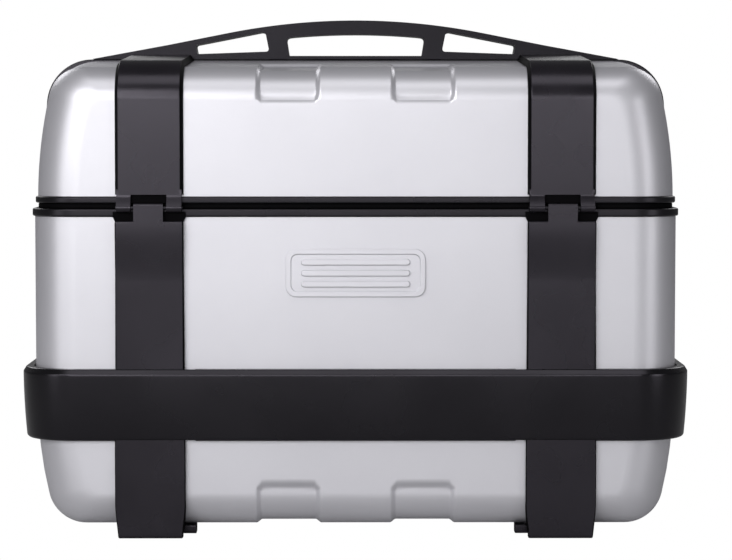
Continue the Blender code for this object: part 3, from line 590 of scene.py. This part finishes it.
def half_ring(shape, upper, cut_z, straight):
    """Outline of one part of a half from its cut on the left, around, to its cut on the right."""
    half_width, centre, radius, tilt, side_end = corner_data(shape, upper)
    steps = 14
    side = [(half_width(z), z) for z in (cut_z + (side_end - cut_z) * i / 12 for i in range(12))]
    turn = arc(centre, radius, tilt, 90, steps) if upper else arc(centre, radius, -tilt, -90, steps)
    edge_z = shape["top"] if upper else shape["bottom"]
    limit = min(straight[-1], centre[0] - 0.002)
    flat = [(x * min(1.0, limit / straight[-1]) if abs(x) > 0.1 else x, edge_z) for x in straight]
    right = side + turn
    return [(-x, z) for x, z in right] + flat + right[::-1]


def surface_normals(rows):
    """Unit normals of a grid of points."""
    normals = []
    for j, row in enumerate(rows):
        up = rows[min(j + 1, len(rows) - 1)]
        down = rows[max(j - 1, 0)]
        line = []
        for i in range(len(row)):
            across = Vector(row[min(i + 1, len(row) - 1)]) - Vector(row[max(i - 1, 0)])
            along = Vector(up[i]) - Vector(down[i])
            normal = across.cross(along)
            line.append(normal.normalized() if normal.length > 1e-12 else Vector((0, -1, 0)))
        normals.append(line)
    return normals


def recess_weight(x, depth, z, upper):
    """How deep a point lies in a pressed panel, from 0 on the surface to 1 on the panel's floor."""
    within_x = min(abs(x) - RECESS_X[0], RECESS_X[1] - abs(x))
    within_z = (z - RECESS_TOP_Z) if upper else (RECESS_BOTTOM_Z - z)
    within_end = RECESS_END - depth
    chamfered = (within_x + within_z - RECESS_CHAMFER) / math.sqrt(2)
    return ease(min(within_x, within_z, within_end, chamfered) / RECESS_WALL)


def front_part(upper, cut_z):
    """Outer surface of the lid or of the lower front shell, with its pressed panels."""
    straight = top_samples(0.190)
    turns = [SIDE_RADIUS * (1 - math.cos(math.radians(90 * i / 26))) for i in range(27)]
    rows = []
    for depth in reversed(turns + FAR_DEPTHS):
        shape = shell_section(FRONT_SHAPE, FRONT_SEAM_SHAPE, depth, SIDE_RADIUS, EDGE_RADIUS, FACE_CORNER,
                              SEAM_DEPTH)
        rows.append([(x, FRONT_Y + depth, z) for x, z in half_ring(shape, upper, cut_z, straight)])
    rim = rows[-1]
    flat_count = len(straight)
    turn_count = (len(rim) - flat_count) // 2
    edge = abs(rim[0][0])
    shoulder = abs(rim[turn_count][0])
    core = [-edge + (edge - shoulder) * i / turn_count for i in range(turn_count)]
    core = core + [rim[turn_count + i][0] for i in range(flat_count)] + [-x for x in reversed(core)]
    for s in FACE_STEPS:
        rows.append([(x + (c - x) * s, y, z + (cut_z - z) * s) for (x, y, z), c in zip(rim, core)])
    normals = surface_normals(rows)
    pressed = []
    for row, line in zip(rows, normals):
        moved = []
        for (x, y, z), normal in zip(row, line):
            faces_out = normal.y < 0.2 and normal.dot(Vector((x, y - SEAM_Y, z - MIDDLE_Z))) > 0
            outward = normal if faces_out else -normal
            weight = recess_weight(x, y - FRONT_Y, z, upper)
            moved.append(Vector((x, y, z)) - outward * RECESS_DEPTH * weight)
        pressed.append(moved)
    bm = grid(pressed)
    bmesh.ops.remove_doubles(bm, verts=bm.verts, dist=2e-5)
    bmesh.ops.recalc_face_normals(bm, faces=bm.faces)
    return bm


def orient_outwards(bm, centre):
    """Turn an open surface's faces away from a point inside it."""
    bm.faces.ensure_lookup_table()
    score = sum((face.calc_center_median() - centre).dot(face.normal) * face.calc_area() for face in bm.faces)
    if score < 0:
        bmesh.ops.reverse_faces(bm, faces=bm.faces)


def make_shell(name, bm, body, slot, node, outer, inner):
    """Thin shell with a smooth outside, a lined inside and rounded rims."""
    orient_outwards(bm, Vector((0, SEAM_Y, MIDDLE_Z)))
    made = raw_object(name, bm)
    made.data.materials.append(outer)
    made.data.materials.append(inner)
    wall = made.modifiers.new("wall", "SOLIDIFY")
    wall.thickness = WALL - 0.0002
    wall.offset = -1
    wall.use_even_offset = True
    wall.material_offset = 1
    wall.material_offset_rim = 1
    bpy.context.view_layer.update()
    bake(made)
    round_edges(made, 0.0004, 2, 60)
    smooth_faces(made, 28)
    fasten(made, body, slot, [node])


def rear_surface():
    """Outer surface of the rear shell, from its mouth to its flat back."""
    distance = REAR_HIGH.y - SEAM_Y
    turns = [REAR_RADIUS * (1 - math.cos(math.radians(90 * i / 18))) for i in range(19)]
    depths = turns + [0.030, 0.040, 0.050, 0.060, 0.070, REAR_HIGH.y - REAR_LOW.y]
    rows = []
    for depth in reversed(depths):
        shape = shell_section(BACK_SHAPE, SEAM_SHAPE, depth, REAR_RADIUS, REAR_RADIUS, REAR_FACE_CORNER,
                              distance)
        rows.append([(x, REAR_HIGH.y - depth, z) for x, z in closed_ring(shape)])
    middle = Vector((0, REAR_HIGH.y, MIDDLE_Z))
    for s in (0.01, 0.03, 0.08, 0.2, 0.45, 0.7):
        rows.append([tuple(Vector(point).lerp(middle, s)) for point in rows[len(depths) - 1]])
    bm = grid(rows, closed=True)
    bm.verts.ensure_lookup_table()
    bm.faces.new(bm.verts[-len(rows[0]):])
    bmesh.ops.recalc_face_normals(bm, faces=bm.faces)
    return bm


def closed_ring(shape, corner_steps=14, side_steps=16, flat_steps=20):
    """Whole outline of the case across X and Z as a closed ring of evenly spread points."""
    half_width, top_centre, top_radius, top_tilt, side_top = corner_data(shape, True)
    _, bottom_centre, bottom_radius, bottom_tilt, side_bottom = corner_data(shape, False)
    right = [(top_centre[0] * i / flat_steps, shape["top"]) for i in range(flat_steps)]
    right += arc(top_centre, top_radius, 90, top_tilt, corner_steps)
    right += [(half_width(z), z) for z in (side_top + (side_bottom - side_top) * i / side_steps
                                           for i in range(1, side_steps))]
    right += arc(bottom_centre, bottom_radius, -bottom_tilt, -90, corner_steps)
    right += [(bottom_centre[0] * (1 - i / flat_steps), shape["bottom"]) for i in range(1, flat_steps + 1)]
    return right + [(-x, z) for x, z in reversed(right[1:-1])]


def make_shells():
    """Lid, lower front shell and rear shell."""
    make_shell("lid_shell_skin", front_part(True, LID_LOW.z), "lid", "silver_shell", "lid_shell", SILVER,
               LINER)
    make_shell("front_lower_shell_skin", front_part(False, LOWER_HIGH.z), "front_half", "silver_shell",
               "front_lower_shell", SILVER, LINER)
    make_shell("rear_shell_skin", rear_surface(), "rear_half", "black_plastic", "rear_shell", SHELL_BLACK,
               LINER)


# ---------------- beads and frames

def front_corner(centre, radius, steps):
    """Points round the right front corner across X and Y, each with its outward normal."""
    angles = [math.radians(-90 + 90 * i / steps) for i in range(steps + 1)]
    points = arc(centre, radius, -90, 0, steps)
    return [(point, (math.cos(a), math.sin(a))) for point, a in zip(points, angles)]


def both_sides(right):
    """A path with normals from its left end to its right end, given its right side."""
    return [((-x, y), (-nx, ny)) for (x, y), (nx, ny) in reversed(right)] + right


def plan_points(step, steps=24):
    """The surface across X and Y at the split, its sides moved in by step, with its normals."""
    width = FRONT_SHAPE["half_width"] - step
    right = front_corner((width - SIDE_RADIUS, FRONT_Y + SIDE_RADIUS), SIDE_RADIUS, steps)
    return both_sides(right + [((SEAM_SHAPE["half_width"], SEAM_Y), (1.0, 0.0))])


def bead_section(low, high, outer, inner, radius, steps=5):
    """Section of a bead as (offset outwards, height or depth), with round outer corners."""
    section = arc((outer - radius, low + radius), radius, -90, 0, steps)
    section += arc((outer - radius, high - radius), radius, 0, 90, steps)
    return section + [(-inner, high), (-inner, low)]


def swept_bead(path, section):
    """Solid that carries a section along a path across X and Y."""
    rings = []
    for (x, y), (nx, ny) in path:
        rings.append([(x + nx * out, y + ny * out, z) for out, z in section])
    return sweep(rings)


def make_split_beads():
    """Black beads on both sides of the split and the rubber seal between them."""
    for name, node, body, step in (("lid_bead", "lid_edge_bead", "lid", LID_STEP),
                                   ("lower_bead", "lower_edge_bead", "front_half", 0.0)):
        low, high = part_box(node)
        section = bead_section(low.z, high.z, 0.0019, WALL, 0.0012)
        made = raw_object(name, swept_bead(plan_points(step), section))
        finish_piece(made, BLACK, body, "black_plastic", [node])
    low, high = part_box("lid_seal")
    section = bead_section(low.z, high.z, -0.0003, WALL, 0.0006)
    made = raw_object("lid_lip_seal", swept_bead(plan_points(LID_STEP), section))
    # The seal is black rubber; it gets the near-black painted-shade material, darker still, as painted shade
    # in the gap between the beads
    finish_piece(made, SHADE_BLACK, "front_half", "rubber", ["lid_seal"])


def seam_sweep(section):
    """Ring that carries a section, as (offset outwards, y), around the seam's outline."""
    ring = closed_ring(SEAM_SHAPE, 18, 10, 10)
    rings = []
    for i, (x, z) in enumerate(ring):
        before, after = Vector(ring[i - 1]), Vector(ring[(i + 1) % len(ring)])
        along = (after - before).normalized()
        normal = Vector((-along.y, along.x))
        if normal.dot(Vector((x, z - MIDDLE_Z))) < 0:
            normal = -normal
        rings.append([(x + normal.x * out, y, z + normal.y * out) for out, y in section])
    return sweep(rings, closed_path=True)


def make_rim():
    """Black rim frame round the rear half's mouth, with the main seal seated in it."""
    section = bead_section(RIM_LOW.y, RIM_HIGH.y, 0.0015, 0.006, 0.0012, 4)
    made = raw_object("rim_frame", seam_sweep(section))
    finish_piece(made, BLACK, "rear_half", "black_plastic", ["rear_rim_frame"])
    seal_low, seal_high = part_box("main_seal")
    middle, half = -0.0051, 0.0009
    section = [(middle - half, seal_high.y), (middle - half, seal_low.y + half)]
    section += arc((middle, seal_low.y + half), half, 180, 360, 8)[1:]
    section += [(middle + half, seal_high.y)]
    made = raw_object("rim_seal", seam_sweep(section))
    finish_piece(made, RUBBER, "rear_half", "rubber", ["main_seal"])


# ---------------- straps and feet

def front_profile(offset, end_z):
    """World Y and Z of the front half's surface from the seam over the top to end_z."""
    top = FRONT_SHAPE["top"]
    points = [(SEAM_Y - 0.0002, SEAM_SHAPE["top"] + offset)]
    corner = (FRONT_Y + EDGE_RADIUS, top - EDGE_RADIUS)
    points += arc(corner, EDGE_RADIUS + offset, 90, 180, 24)
    points.append((FRONT_Y - offset, end_z))
    return points


def strap_solid(inner, outer, x_range):
    """Strap between an inner and an outer profile, whose sides lean in towards its face."""
    middle = (x_range[0] + x_range[1]) / 2
    half = (x_range[1] - x_range[0]) / 2
    rings = []
    for (yi, zi), (yo, zo) in zip(inner, outer):
        base, face = Vector((yi, zi)), Vector((yo, zo))
        thickness = (face - base).length

        def at(height, out):
            point = base.lerp(face, height / thickness)
            return (middle + out, point.x, point.y)

        corner = arc((half - STRAP_LEAN - STRAP_EDGE, thickness - STRAP_EDGE), STRAP_EDGE, 20, 90, 5)
        right = [(half, 0.0), (half, STRAP_LIP)] + corner
        section = [at(h, w) for w, h in right] + [at(h, -w) for w, h in reversed(right)]
        rings.append(section)
    return sweep(rings)


def hinge_leg():
    """Outline across Y and Z of a lid strap's hinge leg: an eye round the pin and a neck above it."""
    leg = [(HINGE_AXIS[0] + KNUCKLE_RADIUS, LEG_TOP_Z)] + arc(HINGE_AXIS, KNUCKLE_RADIUS, 0, -205, 24)
    return leg + [(STRAP_FACE_Y, NECK_Z), (STRAP_FACE_Y, LEG_TOP_Z)]


def make_lid_straps():
    """Straps over the lid with their hinge legs, and a thin near-black sheet behind the notch between the
    legs as painted shade.
    """
    for name, sign in sides("lid_strap"):
        solid = strap_solid(front_profile(GAP, NOTCH_Z), front_profile(GAP + STRAP_THICKNESS, NOTCH_Z),
                            span(sign, *STRAP_X))
        made = raw_object(name + "_moulding", solid)
        for low, high in LEG_X:
            carve(made, prism([hinge_leg()], "X", *span(sign, low, high)), "UNION")
        # A thin sheet fills the back of the notch between the legs; it and the notch's faces are painted
        # near-black, as painted shade in the notch
        shade_x = span(sign, *SHADE_SHEET_X)
        carve(made, box((shade_x[0], SHADE_SHEET_Y[0], SHADE_SHEET_LOW_Z), (shade_x[1], SHADE_SHEET_Y[1], NOTCH_Z + 0.001)), "UNION")
        finish_piece(made, CHARCOAL, "lid", "charcoal_plastic", [name], 0.0004, 2, 50)
        # The strap's steep sides are painted near-black, as painted shade along its edges
        paint_sides(made, 0.6, SHADE_BLACK)
        paint_inside(made, (shade_x[0], SHADE_SHEET_Y[0] - 0.0001, 0.26), (shade_x[1], FRONT_Y + 0.001, NOTCH_Z + 0.0003),
                     SHADE_BLACK)


def lower_strap_outline():
    """Outline across Y and Z of a lower strap: down its back, round the foot and up its face."""
    corner = (FRONT_Y + EDGE_RADIUS, BOTTOM_Z + EDGE_RADIUS)
    outline = [(FRONT_Y - GAP, SHOULDER_Z)] + arc(corner, EDGE_RADIUS + GAP, 180, 270, 20)
    outline += [(FOOT_HIGH.y, BOTTOM_Z - GAP), (FOOT_HIGH.y, FOOT_Z), (LIP_Y, FOOT_Z), (LIP_Y, LIP_Z)]
    outline += arc((STRAP_FACE_Y + TOE, LIP_Z + TOE), TOE, 270, 180, 6)
    heights = (0.008, 0.014, 0.020, 0.026, 0.045, 0.070, 0.080, 0.090, 0.110, 0.160)
    outline += [(STRAP_FACE_Y, z) for z in heights]
    outline += [(STRAP_FACE_Y - BULGE * ease(i / 10), BULGE_START_Z + 0.0042 * i) for i in range(11)]
    return outline + [(STRAP_FACE_Y - BULGE, SHOULDER_Z)]


def tongue_outline():
    """Outline across Y and Z of the rounded tongue between the hinge legs."""
    face, back = STRAP_FACE_Y - BULGE, FRONT_Y - 0.0019
    low, centre_z = SHOULDER_Z - 0.003, HINGE_AXIS[1] + KNUCKLE_RADIUS - TONGUE_TURN
    outline = arc((back - TONGUE_TURN, centre_z), TONGUE_TURN, 0, 90, 6)
    outline += arc((face + TONGUE_TURN, centre_z), TONGUE_TURN, 90, 180, 6)
    return outline + [(face, low), (back, low)]


def make_lower_straps():
    """Straps down the lower shell: a tongue and a near-black apron above, painted shade below the hinge, and
    the wider foot with its lug below.
    """
    lug = [(LUG_Y[0], LUG_Z[0]), (LUG_Y[1], LUG_Z[0]), (LUG_Y[1], LUG_Z[1]), (LUG_Y[0], LUG_Z[1])]
    lug = rounded_path(lug, [0.003, 0.003, 0.001, 0.001])
    wide = (STRAP_X[0] - SHADE_APRON_FLARE, STRAP_X[1] + SHADE_APRON_FLARE)
    low, middle, high = SHADE_APRON_Z
    shade_apron = [(wide[0], high), (wide[0], middle), (STRAP_X[0], low), (STRAP_X[1], low), (wide[1], middle),
             (wide[1], high)]
    for name, sign in sides("front_lower_strap"):
        made = raw_object(name + "_moulding", prism([lower_strap_outline()], "X", *span(sign, *STRAP_X)))
        widen_foot(made.data, sign)
        round_edges(made, 0.0020, 4, 50)
        carve(made, prism([tongue_outline()], "X", *span(sign, *TONGUE_X)), "UNION")
        carve(made, prism([lug], "X", *span(sign, FOOT_LOW.x + 0.0002, STRAP_X[0] + 0.002)), "UNION")
        # The apron is a thin sheet painted near-black below, as painted shade between the hinge and the
        # shoulder
        carve(made, prism([[(sign * x, z) for x, z in shade_apron]], "Y", *SHADE_SHEET_Y), "UNION")
        finish_piece(made, CHARCOAL, "front_half", "charcoal_plastic", [name])
        # The strap's steep sides are painted near-black, as painted shade along its edges
        paint_sides(made, 0.45, SHADE_BLACK)
        paint_inside(made, (-1.0, SHADE_SHEET_Y[0] - 0.0001, low + 0.0001), (1.0, SHADE_SHEET_Y[1] + 0.0005, high + 0.0002),
                     SHADE_BLACK)


def widen_foot(mesh, sign):
    """Spread the strap's sides below the bumper band and draw them in again at the toe."""
    middle = sign * sum(STRAP_X) / 2
    for vert in mesh.vertices:
        below_band, toe = ease((0.090 - vert.co.z) / 0.015), ease((0.026 - vert.co.z) / 0.024)
        spread_out = 0.0010 * below_band - 0.0022 * toe
        vert.co.x += spread_out if vert.co.x > middle else -spread_out


def make_pads():
    """Rubber pads under the feet, with a tread of shallow grooves."""
    for name, _ in sides("front_foot_pad") + sides("rear_foot_pad"):
        low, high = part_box(name)
        outline = rounded_rectangle((low.x, low.y), (high.x, high.y), 0.005)
        made = raw_object(name + "_tread", prism([outline], "Z", low.z, high.z))
        grooves = int((high.y - low.y) / 0.008)
        for i in range(1, grooves):
            y = low.y + (high.y - low.y) * i / grooves
            carve(made, box((low.x - 0.01, y - 0.0008, low.z - 0.01),
                            (high.x + 0.01, y + 0.0008, low.z + 0.0009)))
        body = "front_half" if name.startswith("front") else "rear_half"
        finish_piece(made, RUBBER, body, "rubber", [name], 0.0003, 1)


def make_rear_feet():
    """Feet under the rear half."""
    for name, _ in sides("rear_foot"):
        low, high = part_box(name)
        outline = rounded_rectangle((low.x, low.y), (high.x, high.y), 0.006)
        made = raw_object(name + "_moulding", prism([outline], "Z", low.z, high.z))
        finish_piece(made, CHARCOAL, "rear_half", "charcoal_plastic", [name], 0.0012)


# ---------------- bumper band

def band_path(steps=28):
    """Outer surface of the band across X and Y from end to end, with its normals."""
    centre = (BAND_HALF_WIDTH - BAND_RADIUS, BAND_LOW.y + BAND_RADIUS)
    right = front_corner(centre, BAND_RADIUS, steps)
    flare = (BAND_HIGH.x - BAND_HALF_WIDTH) / (BAND_HIGH.y - centre[1])
    for y in (SEAM_Y - 0.026, SEAM_Y - 0.022, SEAM_Y - 0.016, 0.035, 0.048, BAND_HIGH.y - 0.004, BAND_HIGH.y):
        right.append(((BAND_HALF_WIDTH + flare * (y - centre[1]), y), (1.0, 0.0)))
    return both_sides(right)


def band_section(z_low, z_high, reach):
    """Section of the band as (offset outwards, height): a chamfered face that leans in lower down."""
    height = z_high - z_low

    def lean(z):
        return -BAND_LEAN * ((z_high - z) / height) ** 2

    section = arc((lean(z_low + BAND_TURN) - BAND_TURN, z_low + BAND_TURN), BAND_TURN, -90, -8, 8)
    section += [(lean(z), z) for z in (z_low + 0.1 * height + 0.8 * height * i / 12 for i in range(13))]
    section += [(-0.0001, z_high - 0.0041), (-0.0003, z_high - 0.0037), (-0.0021, z_high - 0.0008),
                (-0.0024, z_high - 0.0004), (-0.0029, z_high - 0.0002), (-0.0036, z_high)]
    back = -BAND_PLATE - 0.0034
    return section + [(-reach, z_high), (-reach, z_high - BAND_LIP), (back, z_high - BAND_LIP),
                      (back, z_low + BAND_LIP), (-reach, z_low + BAND_LIP), (-reach, z_low)]


def make_band():
    """Bumper band with its inward lips, notched over the straps, and its screws and spacers."""
    rings = []
    for (x, y), (nx, ny) in band_path():
        slim = ease((y - (SEAM_Y - 0.024)) / 0.008)
        section = band_section(BAND_LOW.z, BAND_HIGH.z, BAND_REACH - 0.0006 * slim)
        rings.append([(x + nx * out, y + ny * out, z) for out, z in section])
    made = raw_object("bumper_band_moulding", sweep(rings))
    for sign in (-1, 1):
        x_range = span(sign, FOOT_LOW.x - 0.0008, FOOT_HIGH.x + 0.0008)
        carve(made, box((x_range[0], BAND_LOW.y + 0.0034, 0.04), (x_range[1], FRONT_Y + 0.02, 0.16)))
    finish_piece(made, BAND_BLACK, "front_half", "black_plastic", ["bumper_band"], 0.0004, 2, 60)
    for name, toward in sides("band_screw"):
        low, high, centre = box_and_centre(name, 1, 2)
        inner, outer = sorted((low.x, high.x), key=abs)
        neck = inner + toward * 0.0032
        profile = [(0.0034, inner), (0.0046, inner + toward * 0.0006), (0.005, inner + toward * 0.0014),
                   (0.005, neck), (0.002, neck), (0.002, outer)]
        made = raw_object(name + "_turned", turned("X", centre, profile))
        x_low, x_high = sorted((inner, inner + toward * 0.0012))
        for across, up in ((0.0006, 0.003), (0.003, 0.0006)):
            carve(made, box((x_low - 0.001, centre[0] - across, centre[1] - up),
                            (x_high, centre[0] + across, centre[1] + up)))
        finish_piece(made, STEEL, "front_half", "steel", [name])
    for name, _ in sides("band_spacer"):
        low, high, centre = box_and_centre(name, 1, 2)
        ring = [circle(centre, 0.009), circle(centre, 0.0027)]
        made = raw_object(name + "_ring", prism(ring, "X", low.x, high.x))
        finish_piece(made, BLACK, "front_half", "black_plastic", [name], 0.0005, 2)


# ---------------- badge

def make_badge():
    """Plain raised plaque with a rim and three ribs."""
    low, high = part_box("front_badge")
    face = low.y + 0.0012
    outline = rounded_rectangle((low.x, low.z), (high.x, high.z), 0.008, 10)
    made = raw_object("front_plaque", prism([outline], "Y", face, high.y))
    field = rounded_rectangle((low.x + PLAQUE_RIM, low.z + PLAQUE_RIM),
                              (high.x - PLAQUE_RIM, high.z - PLAQUE_RIM), 0.005, 8)
    carve(made, prism([field], "Y", face - 0.001, face + 0.0009))
    half_x, half_z = RIB_HALF
    for offset in (-RIB_PITCH, 0.0, RIB_PITCH):
        z = (low.z + high.z) / 2 + offset
        rib = rounded_rectangle((-half_x, z - half_z), (half_x, z + half_z), 0.0022, 6)
        carve(made, prism([rib], "Y", low.y, face + 0.0015), "UNION")
    finish_piece(made, SILVER, "front_half", "silver_shell", ["front_badge"], 0.0005, 3)


# ---------------- handle

def make_handle():
    """Carry handle: two sloping arms, two posts, a rail and a rounded grip."""
    left = [(-HANDLE_HIGH.x, HANDLE_BASE_Z), HANDLE_SHOULDER]
    for i in range(24):
        x = -CROWN_HALF * (1 - i / 24)
        left.append((x, HANDLE_HIGH.z - CROWN_DROP * (x / CROWN_HALF) ** 2))
    outline = left + [(0.0, HANDLE_HIGH.z)] + mirrored(left)
    end = [(-0.0545, 0.3790), (-0.0568, 0.3938)]
    sag = [(-0.050 + 0.1 * i / 10, GRIP_TOP_Z - GRIP_SAG * ((i - 5) / 5) ** 2) for i in range(11)]
    grip = end + sag + mirrored(end)
    grip = rounded_path(grip, [0.0015, 0.005] + [0.0] * 11 + [0.005, 0.0015])
    slot = [(-0.1300, 0.3805), (-0.1314, 0.3878), (-0.0762, 0.3986), (-0.0738, 0.3972), (-0.0709, 0.3826)]
    slot = rounded_path(slot, [0.0020, 0.0020, 0.0035, 0.0025, 0.0025])
    loops = [outline, grip, slot, mirrored(slot)]
    made = raw_object("carry_handle_moulding", prism(loops, "Y", HANDLE_LOW.y, HANDLE_HIGH.y))
    screws = numbered("handle_screw")
    for name in screws:
        x, y = box_and_centre(name, 0, 1)[2]
        boss = box((x - 0.007, y - 0.005, HANDLE_LOW.z), (x + 0.007, HANDLE_HIGH.y, HANDLE_BASE_Z + 0.001))
        carve(made, boss, "UNION")
    finish_piece(made, HANDLE_BLACK, "rear_half", "charcoal_plastic", ["carry_handle"], 0.0019, 4, 45)
    for name in screws:
        make_handle_screw(name)


def make_handle_screw(name):
    """Pan-head screw that points up, with a cross recess in its head."""
    low, high, centre = box_and_centre(name, 0, 1)
    neck = low.z + 0.003
    profile = [(0.0028, low.z), (0.0040, low.z + 0.0006), (0.0045, low.z + 0.0014), (0.0045, neck),
               (0.0020, neck), (0.0020, high.z)]
    made = raw_object(name + "_turned", turned("Z", centre, profile))
    for wide, narrow in ((0.0028, 0.0005), (0.0005, 0.0028)):
        carve(made, box((centre[0] - wide, centre[1] - narrow, low.z - 0.001),
                        (centre[0] + wide, centre[1] + narrow, low.z + 0.0013)))
    finish_piece(made, STEEL, "rear_half", "steel", [name])


# ---------------- mounting plate and rear fittings

def make_mounting():
    """Mounting plate with its pockets and screws."""
    low, high = PLATE_LOW, PLATE_HIGH
    outline = rounded_rectangle((low.x, low.z), (high.x, high.z), 0.018, 10)
    sockets = [rounded_rectangle((x - 0.022, 0.098), (x + 0.022, 0.114), 0.003) for x in PLATE_SOCKETS_X]
    window = rounded_rectangle((-0.026, 0.284), (0.026, 0.316), 0.003)
    holes = [circle((x, z), 0.0054) for z in (0.140, 0.300) for x in (-0.110, 0.110)]
    made = raw_object("mounting_plate_moulding",
                      prism([outline] + sockets + [window] + holes, "Y", low.y, high.y))
    for z_low, z_high in POCKETS_Z:
        for x_low, x_high in POCKETS_X:
            pocket = rounded_rectangle((x_low, z_low), (x_high, z_high), 0.004)
            carve(made, prism([pocket], "Y", high.y - POCKET_DEPTH, high.y + 0.002))
    finish_piece(made, SHELL_BLACK, "rear_half", "black_plastic", ["mounting_plate"], 0.0010, 2)
    for name in numbered("plate_screw"):
        low, high, centre = box_and_centre(name, 0, 2)
        profile = [(0.0050, low.y), (0.0050, high.y - 0.0012), (0.0044, high.y - 0.0004), (0.0034, high.y)]
        made = raw_object(name + "_turned", turned("Y", centre, profile))
        carve(made, prism([circle(centre, 0.0026, 6)], "Y", high.y - 0.0022, high.y + 0.001))
        finish_piece(made, STEEL, "rear_half", "steel", [name])


# Material and edge radius of the CAD nodes whose shape is already right
CAD_FINISHES = (
    (BLACK, 0.0007, "lock_housing"), (CHARCOAL, 0.0005, "release_lever"), (STEEL, 0.0003, "lock_barrel"),
    (RED, 0.0005, "mount_release_button"), (STEEL, 0.0003, "latch_bracket"), (STEEL, 0.0004, "latch_hook"),
    (STEEL, 0.0002, "latch_pin"), (STEEL, 0.0005, "mount_catch"),
    (STEEL, 0.0003, "catch_pivot_left", "catch_pivot_right"),
    (BLACK, 0.0005, "side_catch_left", "side_catch_right"),
    (STEEL, 0.0003, "catch_keeper_left", "catch_keeper_right"),
    (STEEL, 0.0005, "lid_striker"),
    # The lid hinge pins get the black plastic material as painted shade in the gaps beside the tongue
    (BLACK, 0.0003, "lid_hinge_pin_left", "lid_hinge_pin_right"),
    (STEEL, 0.0003, "rear_hinge_leaf_left", "rear_hinge_leaf_right"),
    (STEEL, 0.0003, "front_hinge_leaf_left", "front_hinge_leaf_right"),
    (STEEL, 0.0002, "clamshell_hinge_pin_left", "clamshell_hinge_pin_right"))


def copy_cad_nodes():
    """Copies of CAD nodes with rounded edges and a finish, each in place of its node."""
    slots = {part["node"]: part["material_slot"] for part in frame["record"]["subparts"]}
    for material, width, *names in CAD_FINISHES:
        for name in names:
            node = frame["nodes"][name]
            bm = bmesh.new()
            bm.from_mesh(node.data)
            bmesh.ops.remove_doubles(bm, verts=bm.verts, dist=1e-6)
            bmesh.ops.dissolve_limit(bm, angle_limit=math.radians(0.5), verts=bm.verts, edges=bm.edges)
            made = raw_object(name + "_finish", bm)
            finish_piece(made, material, body_of(node)[0], slots[name], [name], width, 2, 50)


# ---------------- stage, light and camera

def make_stage():
    """Floor that lights the case from below; the camera looks through it, so a lowered half stays in view."""
    bm = bmesh.new()
    bmesh.ops.create_grid(bm, x_segments=1, y_segments=1, size=30.0)
    floor = raw_object("floor", bm)
    floor.location.z = -0.0002
    floor.data.materials.append(new_material("floor_paint", (0.50, 0.50, 0.50), 0.9)[0])
    floor.visible_camera = False
    floor.visible_shadow = False


# Name, place, width and height, and power in watts
LIGHTS = (
    ("key", (-1.25, -2.45, 1.20), (1.8, 1.0), 39.0), ("front_fill", (-0.1, -3.3, 0.60), (2.4, 0.55), 16.0),
    ("left_fill", (-2.3, -1.9, 0.45), (0.9, 1.0), 7.0), ("right_fill", (2.3, -1.9, 0.45), (0.9, 1.0), 9.0),
    ("overhead", (0.0, -1.2, 2.2), (2.2, 1.0), 12.0), ("rear_left", (-1.6, 2.2, 1.7), (1.2, 1.0), 12.0),
    ("rear_right", (1.6, 2.2, 1.7), (1.2, 1.0), 12.0), ("rear_low", (0.0, 2.4, 0.90), (2.6, 0.4), 2.5))


def make_lights():
    """Soft studio lights aimed at the case, the strongest from the upper left."""
    for name, place, size, power in LIGHTS:
        data = bpy.data.lights.new(name, "AREA")
        data.shape = "RECTANGLE"
        data.size, data.size_y = size
        data.energy = power
        light = bpy.data.objects.new(name, data)
        light.location = place
        light.rotation_euler = (Vector((0.0, 0.0, 0.2)) - Vector(place)).to_track_quat("-Z", "Y").to_euler()
        bpy.context.scene.collection.objects.link(light)


def make_surround():
    """World that the camera sees as white and that lights the case only a little."""
    world = bpy.data.worlds.new("studio")
    bpy.context.scene.world = world
    world.use_nodes = True
    tree = world.node_tree
    tree.nodes.clear()
    path = tree.nodes.new("ShaderNodeLightPath")
    mix = tree.nodes.new("ShaderNodeMixShader")
    out = tree.nodes.new("ShaderNodeOutputWorld")
    tree.links.new(path.outputs["Is Camera Ray"], mix.inputs["Fac"])
    seen, lit = (1.0, 1.0, 1.0, 1.0), (0.90, 0.90, 0.93, 1.0)
    for i, colour, strength in ((1, lit, SURROUND_LIGHT), (2, seen, 1.0)):
        surface = tree.nodes.new("ShaderNodeBackground")
        surface.inputs["Color"].default_value = colour
        surface.inputs["Strength"].default_value = strength
        tree.links.new(surface.outputs["Background"], mix.inputs[i])
    tree.links.new(mix.outputs["Shader"], out.inputs["Surface"])


def make_camera():
    """Camera in front of the case, tilted a little down."""
    data = bpy.data.cameras.new("camera")
    data.lens = 119.0
    camera = bpy.data.objects.new("camera", data)
    camera.location = (0.0, FRONT_Y - 1.87, 0.3041)
    camera.rotation_euler = (math.radians(90 - 3.14), 0.0, math.radians(-0.246))
    bpy.context.scene.collection.objects.link(camera)
    bpy.context.scene.camera = camera


make_camera()
make_stage()
make_lights()
make_surround()
make_shells()
make_split_beads()
make_rim()
make_lid_straps()
make_lower_straps()
make_pads()
make_rear_feet()
make_band()
make_badge()
make_handle()
make_mounting()
copy_cad_nodes()
bpy.context.scene.view_settings.view_transform = "Standard"
